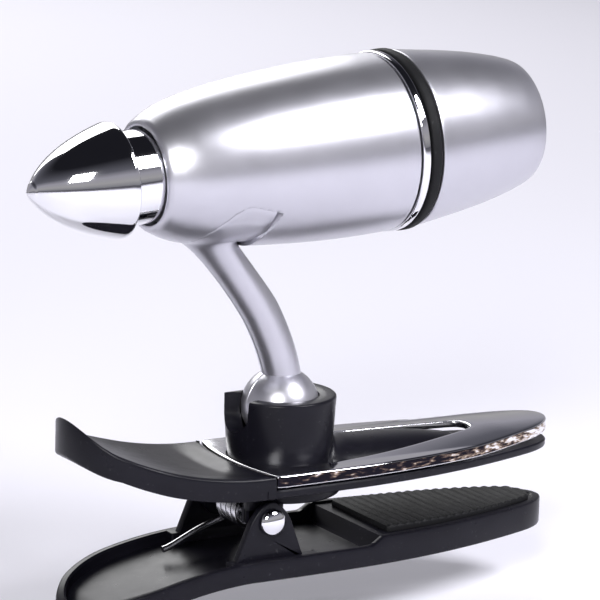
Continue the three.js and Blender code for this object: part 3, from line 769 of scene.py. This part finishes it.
# ---- clip -----------------------------------------------------------------------------
@dataclass(frozen=True)
class ClipPlan:
    """The plan that both halves of the clip share, and the heights along the upper lever."""

    lever_half: float = 11.0
    lever_x: float = -22.0
    lever_end: float = 12.95
    jaw_half: float = 11.25
    tip: float = 45.95
    count: int = 520

    def half(self) -> Array:
        """The near half of the outline, from the lever's end to the jaw's tip."""
        quarter = np.linspace(np.pi, 1.5 * np.pi, 60, endpoint=False)
        end = np.stack([
            self.lever_x + self.lever_end * np.cos(quarter), self.lever_half * np.sin(quarter),
        ], 1)
        jaw, tip = self.jaw_half, self.tip
        side = through([(self.lever_x, -self.lever_half), (-2, -jaw), (7, -jaw)], 12)[:-1]
        taper = bezier((7, -jaw), (20, 0.3 - jaw), (30, 2.4 - jaw), (tip - 6, 5.6 - jaw), 50)
        nose = bezier((tip - 6, 5.6 - jaw), (tip - 2, 7 - jaw), (tip, 9 - jaw), (tip, 0), 30)
        return np.vstack([end, side, taper, nose, [(tip, 0)]])

    def outline(self) -> Array:
        """The whole outline, even steps, from the lever's end round the near side and back."""
        return mirrored(evened(self.half(), self.count // 2 + 1))


def normals(outline: Array) -> Array:
    """Unit directions out of a closed outline that runs anticlockwise."""
    along = np.roll(outline, -1, 0) - np.roll(outline, 1, 0)
    along /= np.linalg.norm(along, axis=1, keepdims=True)
    return np.stack([along[:, 1], -along[:, 0]], 1)


ROOT, BOW = -8.0, 0.0098  # where the upper lever starts to rise, and how fast
CURL_START, CURL = -30.0, 0.085  # where its end starts to curl, and how fast


def lever_top(x: Array) -> Array:
    """Height of the upper lever: a parabola from its root, with a steeper curl at its end."""
    return BOW * np.maximum(0, ROOT - x) ** 2 + CURL * np.maximum(0, CURL_START - x) ** 2


def lever_steepness(x: Array) -> Array:
    """Length along the lever for each unit of X, so that depths can be set square to it."""
    slope = 2 * BOW * np.maximum(0, ROOT - x) + 2 * CURL * np.maximum(0, CURL_START - x)
    return np.hypot(1, slope)


def lofted(
    outline: Array,
    section: Sequence[tuple[float, Height]],
    spine: tuple[float, float],
    top: Height,
    under: Height,
    rings: int,
) -> Solid:
    """A closed solid from rings of one plan outline.

    The section lists insets and height functions from the top edge, round the side, to the
    under edge. Above and below it the rings shrink onto a straight spine along X.

    Args:
        outline: closed plan outline.
        section: (inset, height of x and y) for each ring of the side.
        spine: lowest and highest x of the line that the rings shrink to.
        top: height of the top over x and y.
        under: height of the underside.
        rings: rings between the edge and the spine.

    Returns:
        Vertices and faces.
    """
    out = normals(outline)

    def ring(inset: float, height: Height) -> Array:
        """One ring of the side."""
        p = outline - out * inset
        return np.column_stack([p, height(p[:, 0], p[:, 1])])

    def shrunk(inset: float, height: Height, amounts: Array) -> list[Array]:
        """Rings of the top or underside, each drawn in towards the spine."""
        p = outline - out * inset
        core = np.stack([np.clip(p[:, 0], *spine), 0 * p[:, 1]], 1)
        q = [core + (p - core) * a for a in amounts]
        return [np.column_stack([r, height(r[:, 0], r[:, 1])]) for r in q]

    amounts = np.linspace(0, 1, rings)[:-1]
    stack = shrunk(section[0][0], top, amounts)
    stack += [ring(inset, height) for inset, height in section]
    stack += shrunk(section[-1][0], under, amounts[::-1])
    return island(np.stack(stack), False, True)


def dropped(height: Height, by: float) -> Height:
    """A height function lowered by an amount."""
    return lambda x, y: height(x, y) - by


def level(height: float) -> Height:
    """The height function of a flat face."""
    return lambda x, y: 0 * x + height


def side_plate(corners: Sequence[Point], low: float, high: float, edge: float = 0.25) -> Solid:
    """A flat lug in the XZ plane between two places along Y, with rounded edges.

    Args:
        corners: its outline, as (x, z, corner radius), anticlockwise.
        low: its lowest y.
        high: its highest y.
        edge: radius of its edges.

    Returns:
        Vertices and faces.
    """
    closed = list(corners) + [corners[0], corners[1]]
    outline = evened(filleted(closed, 12)[1:], 160)[:-1]
    middle = outline.mean(0)
    out = normals(outline)
    if ((outline - middle) * out).sum() < 0:
        out = -out
    a = np.linspace(0, np.pi / 2, 5)
    insets = np.concatenate([edge * (1 - np.sin(a)), edge * (1 - np.cos(a))])
    places = np.concatenate([low + edge * (1 - np.cos(a)), high - edge * (1 - np.sin(a))])
    rings = [np.insert(outline - out * i, 1, p, axis=1) for i, p in zip(insets, places)]
    caps = [np.insert(middle + (outline - out * edge - middle) * s, 1, p, axis=1)
            for s, p in ((0, low), (0.5, low))]
    ends = [np.insert(middle + (outline - out * edge - middle) * s, 1, p, axis=1)
            for s, p in ((0.5, high), (0, high))]
    return island(np.stack(caps + rings + ends), False, True)


@dataclass(frozen=True)
class Opening:
    """The cover's long opening round the socket, and the black ridge inside it."""

    round: float = 7.55
    end: float = 33.0

    def half(self, margin: float = 0.0) -> Array:
        """Its near half, from its left end to its right end."""
        size, end = self.round + margin, self.end + margin
        turn = np.linspace(np.pi, 1.5 * np.pi + 0.1, 50, endpoint=False)
        left = size * np.stack([np.cos(turn), np.sin(turn)], 1)
        long = bezier((2, -size), (12, -size), (24, -4.2 - margin), (30, -2.6 - margin), 50)
        last = (end - 0.75, 0)
        tail = bezier((30, -2.6 - margin), (31.6 + margin, -2.1 - margin * 0.7), (last[0], -1.6), last, 20)
        return np.vstack([left, long, tail, [last]])

    def outline(self, margin: float, count: int) -> Array:
        """The whole outline in even steps."""
        return mirrored(evened(self.half(margin), count // 2 + 1))


def crown(x: Array, y: Array) -> Array:
    """Rise of the cover: none at the socket, most along the middle towards the tip."""
    along = np.clip((x - 2) / 34, 0, 1)
    return 1.1 * along * np.maximum(0, 1 - (y / 8.5) ** 2)


@dataclass(frozen=True)
class UpperJaw:
    """Lever, jaw, ridge, boss and ears in one black moulding."""

    plan: ClipPlan
    opening: Opening
    cover: "Cover"
    skirt: float = 3.3
    wall: float = 1.4
    deck: float = -2.1
    dish: float = 0.75

    def lever_plan(self) -> Array:
        """The lever's outline, closed along the cover's bowed left edge."""
        half = self.plan.half()
        edge_x = lambda y: self.cover.edge(y) - 0.3
        half = half[half[:, 0] < edge_x(half[:, 1])]
        y = np.linspace(half[-1, 1], 0, 40)
        return mirrored(evened(np.vstack([half, np.stack([edge_x(y), y], 1)]), 300))

    def jaw_plan(self) -> Array:
        """The jaw's outline, from where the lever ends to the tip."""
        half = self.plan.half()
        edge_x = lambda y: self.cover.edge(y) - 0.33
        half = half[half[:, 0] > edge_x(half[:, 1])]
        y = np.linspace(0, half[0, 1], 40)[:-1]
        return mirrored(evened(np.vstack([np.stack([edge_x(y), y], 1), half]), 300))

    def lever_over(self, x: Array, y: Array) -> Array:
        """The lever's dished top; the dish fades out towards the lever's end."""
        dish = self.dish * np.clip(1 - (y / 10.4) ** 2, 0, 1) * np.clip(1 - (-9 - x) / 24, 0, 1)
        return lever_top(x) - dish * smooth_step(-x, 8.3, 13)

    def lever_under(self, x: Array, y: Array) -> Array:
        """The skirt's lower edge."""
        return lever_top(x) - self.skirt * lever_steepness(x) + 0 * y

    def lever_ceiling(self, x: Array, y: Array) -> Array:
        """The hollow beneath the lever."""
        return lever_top(x) - (self.wall + 0.6) * lever_steepness(x) + 0 * y

    def ridge(self, x: Array, y: Array) -> Array:
        """Height of the ridge: an ellipsoid's top, with a fillet that climbs the socket."""
        body = 1 - ((np.maximum(x, 7) - 7) / 25.5) ** 2 - (y / 6.1) ** 2
        dome = -1.7 + 3.3 * np.sqrt(np.maximum(body, 0))
        fillet = 1.35 * np.exp(-np.maximum(np.hypot(x, y) - 7.9, 0) / 1.1) * smooth_step(x, 3.5, 7.0)
        return np.maximum(dome, -1.2) + fillet

    def build(self) -> None:
        """Lofts the lever, the jaw and the ridge, and adds the boss and ears."""
        soft = [(0.5, 0.0), (0.28, 0.07), (0.12, 0.2), (0.03, 0.36), (0.0, 0.55)]
        section = [(inset, dropped(self.lever_over, down)) for inset, down in soft]
        under = self.lever_under
        section += [(0.0, dropped(under, -0.3)), (0.08, dropped(under, -0.08)), (0.3, under)]
        section += [(self.wall - 0.3, under), (self.wall, dropped(under, -0.3))]
        section += [(self.wall, self.lever_ceiling)]
        lever = lofted(self.lever_plan(), section, (-25, -13), self.lever_over, self.lever_ceiling, 26)
        deck, floor, flat = level(self.deck), level(-self.skirt), level(self.deck - 0.1)
        slab = [(0.2, deck), (0.0, dropped(deck, 0.2)), (0.0, dropped(floor, -0.3))]
        slab += [(0.1, dropped(floor, -0.1)), (0.3, floor)]
        jaw = lofted(self.jaw_plan(), slab, (2, 38), deck, floor, 12)
        bed = self.opening.outline(-0.3, 360)
        ridge = lofted(bed, [(0.0, self.ridge), (0.0, flat)], (0, 29), self.ridge, flat, 40)
        boss = upright(turned(filleted([
            (-2.3, 0), (-2.3, 9), (-5.2, 9, 0.5), (-5.2, 1.5, 0.15), (-3.4, 1.5), (-3.4, 0),
        ]), 96))
        lug = [(-9.4, -2.4, 0.5), (PIN[0] - 2.9, PIN[2] - 0.6, 2.2), (PIN[0], PIN[2] - 3.6, 2.4),
               (PIN[0] + 2.9, PIN[2] - 0.6, 2.2), (-3.2, -2.4, 0.5)]
        ears = [side_plate(lug, -7.35, -6.05), side_plate(lug, 6.05, 7.35)]
        stands_for("upper_jaw", [lever, jaw, ridge, island(boss)] + ears, CLIP, 40)


@dataclass(frozen=True)
class Cover:
    """The bright plate: a band between the clip's outline and the opening, with a rim."""

    plan: ClipPlan
    opening: Opening
    left: float = -8.15
    bow: float = 1.6
    rim: float = 1.8
    sheet: float = 1.0
    thick: float = 0.9
    count: int = 640

    def edge(self, y: Array) -> Array:
        """Where the left edge lies: a parabola across the clip."""
        return self.left + self.bow * (y / self.plan.jaw_half) ** 2

    def outline(self) -> Array:
        """The clip's outline right of the bowed left edge, in even steps."""
        half = self.plan.half()
        half = half[half[:, 0] > self.edge(half[:, 1]) + 0.35]
        corner = half[0]
        y = np.linspace(0, corner[1] + 0.45, 30)
        edge = np.stack([self.edge(y), y], 1)
        leave, arrive = (edge[-1, 0] + 0.03, corner[1] + 0.1), (corner[0] - 0.25, corner[1])
        turn = bezier(edge[-1], leave, arrive, corner, 8)
        return mirrored(evened(np.vstack([edge[:-1], turn, half]), self.count // 2 + 1))

    def build(self) -> None:
        """Carries one hooked section round the plate."""
        outer, inner = self.outline(), self.opening.outline(0.0, self.count)
        out, into = normals(outer), normals(inner)
        a = np.linspace(0, np.pi / 2, 6)
        rows = []

        def row(points: Array, height: float) -> None:
            """Adds a ring of the section, lifted by the crown."""
            rows.append(np.column_stack([points, height + crown(points[:, 0], points[:, 1])]))

        soft, lip = 0.35, 0.25
        for s in a:
            row(outer - out * lip * (1 - np.sin(s)), -self.rim + lip * (1 - np.cos(s)))
        for height in (-1.5, -1.35, -0.55, -0.42):
            row(outer, height)
        for s in a:
            row(outer - out * soft * (1 - np.cos(s)), -soft * (1 - np.sin(s)))
        edge_out, edge_in = outer - out * soft, inner + into * 0.25
        for s in np.linspace(0, 1, 14)[1:]:
            row(edge_out + (edge_in - edge_out) * s, 0.0)
        for s in a[1:]:
            row(inner + into * 0.25 * (1 - np.sin(s)), -0.25 * (1 - np.cos(s)))
        row(inner, -self.sheet + 0.1)
        row(inner + into * 0.1, -self.sheet)
        inside = outer - out * self.thick
        for s in np.linspace(0, 1, 8)[1:]:
            row((inner + into * 0.1) + (inside - inner - into * 0.1) * s, -self.sheet)
        row(inside, -self.rim)
        piece = stands_for("chrome_cover", [island(np.stack(rows), True, True)], CLIP, 60)
        self.mark_side(piece, outer)

    def mark_side(self, piece: bpy.types.Object, outline: Array) -> None:
        """Marks the middle of the rim's height for a chrome finish with a painted reflection, and dresses the
        piece in it.
        """
        places = np.empty(len(piece.data.vertices) * 3)
        piece.data.vertices.foreach_get("co", places)
        places = (places.reshape(-1, 3) - CLIP.origin) / MM
        height = places[:, 2] - crown(places[:, 0], places[:, 1])
        gap = np.linalg.norm(places[:, None, :2] - outline[None, ::2], axis=2).min(1)
        side = (gap < 0.4) & (height < -0.2) & (height > -self.rim + 0.2)
        mark = piece.data.attributes.new("side", "FLOAT", "POINT")
        mark.data.foreach_set("value", side.astype(float))
        piece.data.materials.clear()
        # The rim's chrome gets a painted reflection in the marked band.
        rim = replace(FINISHES["bright_chrome"], name="chrome rim", rim_reflection_painted=True)
        piece.data.materials.append(rim.made())


@dataclass(frozen=True)
class Socket:
    """The black cup that holds the ball, with its U-shaped slot."""

    top: float = 1.9
    slot_half: float = 3.1
    slot_floor: float = 4.0
    back_fall: float = math.radians(15)
    hollow: float = 5.84  # radius of the round hollow that clears the ball
    middle: float = 7.2  # radius at which the slot's width is measured

    def build(self) -> None:
        """Turns the wall about Z and lowers its top where the slot is.

        Over the slot's width the top follows a half circle; its sides stand upright because
        the angles round the cup are doubled up there. Where the top is lowered, its inner edge
        moves out to clear the ball.
        """
        rim = BALL_HEIGHT + self.top
        mouth = math.sqrt(self.hollow**2 - self.top**2)
        profile = filleted([
            (-1.9, 0), (-1.9, 6.3), (BALL_HEIGHT - 1.0, 6.3), (BALL_HEIGHT, 5.95), (rim - 0.1, mouth, 0.25),
            (rim, 6.6, 0.2), (rim, 8.08, 0.45), (2.2, 7.72), (0.2, 7.4, 1.2), (-0.3, 7.5, 0.2),
            (-1.0, 7.5, 0.2), (-1.2, 7.1), (-3.2, 7.1), (-3.2, 1.4), (-3.2, 0),
        ], 7)
        even = np.linspace(0, 2 * np.pi, 168, endpoint=False)
        side = math.asin(self.slot_half / self.middle)
        near = np.concatenate([np.linspace(-side, side, 41), [-side - 0.004, side + 0.004]])
        angle = np.unique(np.round(np.concatenate([even, near % (2 * np.pi)]), 6))[:, None]
        along, radius = profile[None, :, 0], profile[None, :, 1]
        x, y = -radius * np.cos(angle), radius * np.sin(angle)
        offset = np.where(np.cos(angle) > 0, np.abs(self.middle * np.sin(angle)), 99.0)
        dip = np.sqrt(np.maximum(self.slot_half**2 - offset**2, 0))
        ceiling = np.where(offset <= self.slot_half, self.slot_floor + self.slot_half - dip, 99.0)
        behind = rim - np.maximum(y - self.slot_half, 0) * math.tan(self.back_fall)
        height = np.minimum(np.minimum(along + 0 * angle, ceiling), behind)
        clear = np.sqrt(self.hollow**2 - np.clip(height - BALL_HEIGHT, -3.5, 3.5) ** 2)
        outward = np.where(height < along - 1e-6, np.maximum(clear / np.maximum(radius, 1e-6), 1), 1)
        grid = np.stack([x * outward, y * outward, height], -1)
        stands_for("ball_socket", [island(grid, True, False)], CLIP, 45)


@dataclass(frozen=True)
class Pads:
    """The two rubber pads, ribbed across on their gripping faces."""

    pitch: float = 1.5
    rib: float = 0.28
    thick: float = 1.0

    def outline(self) -> Array:
        """Their plan, inside the jaw's."""
        half = np.vstack([
            [(14, y) for y in np.linspace(0, -7.6, 20)],
            bezier((14.4, -8), (26, -7.6), (34, -6), (40.4, -3.6), 50),
            bezier((40.4, -3.6), (43.2, -2.4), (43.2, -1.2), (43.2, 0), 20), [(43.2, 0)],
        ])
        return mirrored(evened(half, 400))

    def build(self) -> None:
        """Lofts each pad; the ribs are a rounded wave along X that fades at the edges."""
        outline = self.outline()
        for node, face, way in (("upper_pad", -4.0, -1.0), ("lower_pad", -10.5, 1.0)):
            back = level(face - way * self.thick)

            def grip(x: Array, y: Array, face: float = face, way: float = way) -> Array:
                """Height of the ribbed face."""
                wave = np.abs(np.sin(np.pi * (x - 14) / self.pitch)) ** 0.7
                return face - way * self.rib * (1 - wave)

            side = [(0.25, grip), (0.06, level(face - way * 0.2)), (0.0, level(face - way * 0.4))]
            side += [(0.0, back)]
            stands_for(node, [lofted(outline, side, (16, 40), grip, back, 30)], CLIP, 45)


LOWER_RIM = -12.4


def lower_top(x: Array) -> Array:
    """Height of the lower lever's rim, which falls away as the upper one rises."""
    return LOWER_RIM - 0.8 * lever_top(x)


@dataclass(frozen=True)
class LowerJaw:
    """The lower lever and jaw: a tray with a deck for the pad, ledges and two ears."""

    plan: ClipPlan
    wall: float = 1.4
    floor: float = -15.5
    deck: float = -11.2

    def rim(self, x: Array, y: Array) -> Array:
        """Top edge: the lever's rim, then the deck under the pad."""
        step = smooth_step(x, 9.5, 12.2)
        return lower_top(x) * (1 - step) + self.deck * step

    def base(self, x: Array, y: Array) -> Array:
        """The underside."""
        step = smooth_step(x, -12, -8)
        return (lower_top(x) - 3.05 * lever_steepness(x)) * (1 - step) + self.floor * step

    def tray(self, x: Array, y: Array) -> Array:
        """The inside floor, up to the deck that the pad lies on."""
        step = smooth_step(x, 11.2, 12.0)
        return (lower_top(x) - 1.65 * lever_steepness(x)) * (1 - step) + (self.deck - 0.35) * step

    def ledge(self, side: int) -> Solid:
        """The solid ledge that an ear stands on, between the tray's floor and its rim."""
        outer, inner = self.plan.jaw_half - 1.2, 7.72
        box = np.array([(-12.9, inner), (1.6, inner), (1.6, outer), (-12.9, outer)]) * [1, side]
        closed = [(x, y, 0.3) for x, y in box]
        plan = evened(filleted(closed + closed[:2], 6)[1:], 160)[:-1]
        if side < 0:
            plan = plan[::-1]
        top, low = level(LOWER_RIM - 0.12), level(-14.9)
        section = [(0.12, top), (0.03, dropped(top, 0.04)), (0.0, dropped(top, 0.12)), (0.0, low)]
        middle = side * 8.9
        points, faces = lofted(plan - [0, middle], section, (-12, 0.7), top, low, 6)
        return points + [0, middle, 0], faces

    def build(self) -> None:
        """Lofts the tray and adds the ledges and ears."""
        outline = self.plan.outline()
        outline = outline - normals(outline) * 0.4
        rim, base = self.rim, self.base
        section = [(self.wall, self.tray), (self.wall, dropped(rim, 0.3)), (self.wall - 0.3, rim), (0.3, rim)]
        section += [(0.08, dropped(rim, 0.08)), (0.0, dropped(rim, 0.3)), (0.0, dropped(base, -0.6))]
        section += [(0.1, dropped(base, -0.25)), (0.6, base)]
        tray = lofted(outline, section, (-25, 38), self.tray, base, 24)
        ledges = [self.ledge(side) for side in (-1, 1)]
        lug = [(-12, LOWER_RIM - 0.6, 0.4), (-0.8, LOWER_RIM - 0.6, 0.4), (PIN[0] + 2.9, PIN[2] + 1.0, 1.8),
               (PIN[0], PIN[2] + 3.6, 2.6), (PIN[0] - 2.9, PIN[2] + 1.0, 1.8)]
        ears = [side_plate(lug, -9.05, -7.75), side_plate(lug, 7.75, 9.05)]
        stands_for("lower_jaw", [tray] + ledges + ears, CLIP, 40)


@dataclass(frozen=True)
class Hinge:
    """Pin with a domed head, its retaining cap and the torsion spring."""

    radius: float = 2.1
    turns: int = 4
    wire: float = 0.48

    def about_pin(self, profile: Array) -> Array:
        """Turns a profile of (y, radius) about the pin."""
        grid = turned(profile, 96)
        return np.stack([PIN[0] + grid[..., 1], grid[..., 0], PIN[2] + grid[..., 2]], -1)

    def build(self) -> None:
        """Turns the pin and cap, and carries the wire round its coil and out along its legs."""
        a = np.linspace(0, np.pi / 2, 14)
        dome = np.stack([-9.45 - 1.0 * np.cos(a), 1.98 * np.sin(a)], 1)
        body = filleted([(-9.4, 1.98), (-9.3, 1.9), (-9.3, 1.0), (10.5, 1.0, 0.25), (10.55, 0)])
        stands_for("hinge_pin", [island(self.about_pin(np.vstack([dome, body])))], CLIP)
        washer = filleted([
            (9.45, 1.25), (9.45, 2.15, 0.1), (9.8, 2.15, 0.2), (10.25, 1.3, 0.1), (10.25, 1.25), (9.45, 1.25),
        ], 8)
        stands_for("pin_cap", [island(self.about_pin(washer))], CLIP)
        self.spring()

    def spring(self) -> None:
        """The wire, with one leg reaching to each jaw."""
        node = "torsion_spring"
        wire = made(f"{node}_fine", [island(swept(self.path(), self.wire, 16), False, True)], CLIP)
        wire.data.materials.append(material_of(SLOT_OF[node]))
        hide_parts(node)
        above, below = (CLIP.world(np.array(PIN) + [0, 0, way * self.radius]) for way in (1, -1))
        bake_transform(wire)

    def path(self) -> Array:
        """The wire's centre line: a leg, the helix about the pin, and the other leg."""
        y = 3.2
        turn = np.linspace(0, 1, 120)
        angle = np.pi / 2 - turn * (2 * np.pi * self.turns + np.pi)
        coil = np.stack([
            PIN[0] + self.radius * np.cos(angle), -y + 2 * y * turn, PIN[2] + self.radius * np.sin(angle),
        ], 1)
        start = [(-17, -y, -2.55), (-15.5, -y, -2.75), (-11, -y, -3.95)]
        end = [(-11, y, -10.75), (-15.5, y, -12.7), (-17, y, -13.15)]
        first = through(start + [tuple(coil[0])], 8)[:-1]
        last = through([tuple(coil[-1])] + end, 8)[1:]
        return np.vstack([first, coil, last])


@dataclass(frozen=True)
class Screws:
    """The two screws, with crossed recesses in their heads."""

    def head(self, place: float, radius: float, top: float, shank: float, end: float) -> Array:
        """A screw standing on Z: its head's face at place, running to end.

        The recess is the smaller of two distances to a cross's arms, smoothed into the face.
        """
        r = np.linspace(0, radius * 0.86, 40)
        way = 1 if end > place else -1
        rest = filleted([
            (place, radius * 0.86), (place, radius, 0.12), (top, radius), (top, shank), (end, shank, 0.2),
            (end, 0),
        ])
        profile = np.vstack([np.stack([place + 0 * r, r], 1), rest])
        grid = upright(turned(profile, 144))
        x, y = grid[:, :40, 0], grid[:, :40, 1]
        arms = np.minimum(np.maximum(np.abs(x) * 5, np.abs(y)), np.maximum(np.abs(y) * 5, np.abs(x)))
        grid[:, :40, 2] += way * 0.55 * (1 - smooth_step(arms, radius * 0.52, radius * 0.66))
        return grid

    def build(self) -> None:
        """The socket's screw from below, and the saddle's screw inside the shell."""
        stands_for("socket_screw", [island(self.head(-6.4, 2.4, -5.5, 1.1, -1.2))], CLIP, 30)
        grid = self.head(HEAD_HEIGHT - 7.5, 1.6, HEAD_HEIGHT - 8.3, 0.8, HEAD_HEIGHT - 13.6)
        grid[..., 0] += -10.4
        stands_for("arm_screw", [island(grid)], HEAD, 30)


class InnerWorks:
    """The pieces inside the head and socket, which keep their CAD shapes, and the nose's spring."""

    coil: float = 4.6
    wire: float = 0.35
    rear: float = -25.4
    front: float = -13.2
    turns: int = 5
    pressed: float = 0.84  # share of the spring's length left when the nose is in

    def spring(self) -> None:
        """The wire round the plunger."""
        turn = np.linspace(0, 1, 200)
        angle = 2 * np.pi * self.turns * turn
        along = self.rear + (self.front - self.rear) * turn
        path = np.stack([along, self.coil * np.sin(angle), HEAD_HEIGHT + self.coil * np.cos(angle)], 1)
        piece = stands_for("button_spring", [island(swept(path, self.wire, 14), False, True)], HEAD)
        anchor = HEAD.world(np.array([self.front + self.wire, 0, HEAD_HEIGHT]))
        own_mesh(piece)

    def build(self) -> None:
        """Gives each CAD node that still shows its slot's finish, and winds the spring."""
        self.spring()
        for node, slot in SLOT_OF.items():
            shown = frame["nodes"][node]
            shown.data.materials.clear()
            shown.data.materials.append(material_of(slot))


# ---- surroundings ---------------------------------------------------------------------
@dataclass(frozen=True)
class Studio:
    """Camera, floor and soft light."""

    azimuth: float = -31.4
    elevation: float = 12.49
    roll: float = 1.71
    distance: float = 500.0
    target: tuple[float, float, float] = (2.81, 0.0, 22.28)
    zoom: float = 7.0  # picture points to a millimetre at the target, on a 600 point frame

    def camera(self) -> None:
        """Sets the camera on its azimuth, elevation and roll about the target."""
        az, el, roll = (math.radians(v) for v in (self.azimuth, self.elevation, self.roll))
        back = np.array([math.sin(az) * math.cos(el), -math.cos(az) * math.cos(el), math.sin(el)])
        right = np.array([math.cos(az), math.sin(az), 0.0])
        up = np.cross(back, right)
        right, up = right * math.cos(roll) + up * math.sin(roll), up * math.cos(roll) - right * math.sin(roll)
        eye = CLIP.world(np.array(self.target)) + back * self.distance * MM
        data = bpy.data.cameras.new("camera")
        data.sensor_width = 36.0
        data.lens = 36.0 * self.zoom * self.distance / 600
        data.clip_start = 0.01
        data.clip_end = 20.0
        camera = bpy.data.objects.new("camera", data)
        camera.matrix_world = Matrix([
            [right[i], up[i], back[i], eye[i]] for i in range(3)
        ] + [[0, 0, 0, 1]])
        bpy.context.scene.collection.objects.link(camera)
        bpy.context.scene.camera = camera

    def lamp(self, name: str, where: tuple[float, float, float], size: float, power: float,
             colour: tuple[float, float, float] = (1, 1, 1)) -> None:
        """A square area light that faces the lamp's head."""
        data = bpy.data.lights.new(name, "AREA")
        data.shape = "SQUARE"
        data.size = size
        data.energy = power
        data.color = colour
        lamp = bpy.data.objects.new(name, data)
        aim = CLIP.world(np.array([0.0, 0.0, 25.0]))
        back = np.array(where) - aim
        back /= np.linalg.norm(back)
        right = np.cross([0, 0, 1.0], back)
        right /= np.linalg.norm(right)
        up = np.cross(back, right)
        lamp.matrix_world = Matrix([[right[i], up[i], back[i], where[i]] for i in range(3)] + [[0, 0, 0, 1]])
        bpy.context.scene.collection.objects.link(lamp)

    def floor(self) -> None:
        """A broad pale floor under the lamp."""
        low = float(CAD_BOX[0][2]) - 0.0002
        mesh = bpy.data.meshes.new("floor")
        mesh.from_pydata([(-4, -4, low), (4, -4, low), (4, 4, low), (-4, 4, low)], [], [(0, 1, 2, 3)])
        floor = bpy.data.objects.new("floor", mesh)
        material = bpy.data.materials.new("pale floor")
        material.use_nodes = True
        shader = material.node_tree.nodes["Principled BSDF"]
        shader.inputs["Base Color"].default_value = (0.80, 0.79, 0.86, 1)
        shader.inputs["Roughness"].default_value = 0.9
        mesh.materials.append(material)
        bpy.context.scene.collection.objects.link(floor)

    def light(self) -> None:
        """A world that darkens overhead, and soft area lights."""
        world = bpy.data.worlds.new("studio")
        bpy.context.scene.world = world
        world.use_nodes = True
        nodes, links = world.node_tree.nodes, world.node_tree.links
        split = nodes.new("ShaderNodeSeparateXYZ")
        links.new(nodes.new("ShaderNodeTexCoord").outputs["Generated"], split.inputs["Vector"])
        ramp = nodes.new("ShaderNodeValToRGB")
        fill(ramp, (
            (0.0, (0.62, 0.62, 0.68)), (0.14, (1.0, 0.98, 1.0)), (0.34, (0.9, 0.88, 1.0)),
            (0.5, (0.30, 0.30, 0.36)), (0.8, (0.03, 0.03, 0.04)),
        ))
        links.new(split.outputs["Z"], ramp.inputs["Fac"])
        links.new(ramp.outputs["Color"], nodes["Background"].inputs["Color"])
        nodes["Background"].inputs["Strength"].default_value = 0.40
        self.lamp("key", (0.20, -0.34, 0.42), 0.24, 3.6, (0.96, 0.96, 1.0))
        self.lamp("side", (-0.36, -0.40, 0.30), 0.16, 2.6)
        self.lamp("back", (0.1, 0.7, 0.5), 0.6, 4.5)

    def build(self) -> None:
        """Everything about the object."""
        bpy.context.scene.view_settings.view_transform = "Standard"
        self.camera()
        self.floor()
        self.light()


def main() -> None:
    """Builds the studio and then the lamp, from the head down to the clip."""
    logging.basicConfig(level=logging.INFO, format="%(name)s: %(message)s")
    Studio().build()
    shell, plan, opening = Shell(), ClipPlan(), Opening()
    cover = Cover(plan, opening)
    InnerWorks().build()
    for part in (
        shell, Nose(), FrontEnd(), Optics(), Arm(shell), UpperJaw(plan, opening, cover), cover,
        Socket(), Pads(), LowerJaw(plan), Hinge(), Screws(),
    ):
        part.build()


if __name__ == "__main__":
    main()
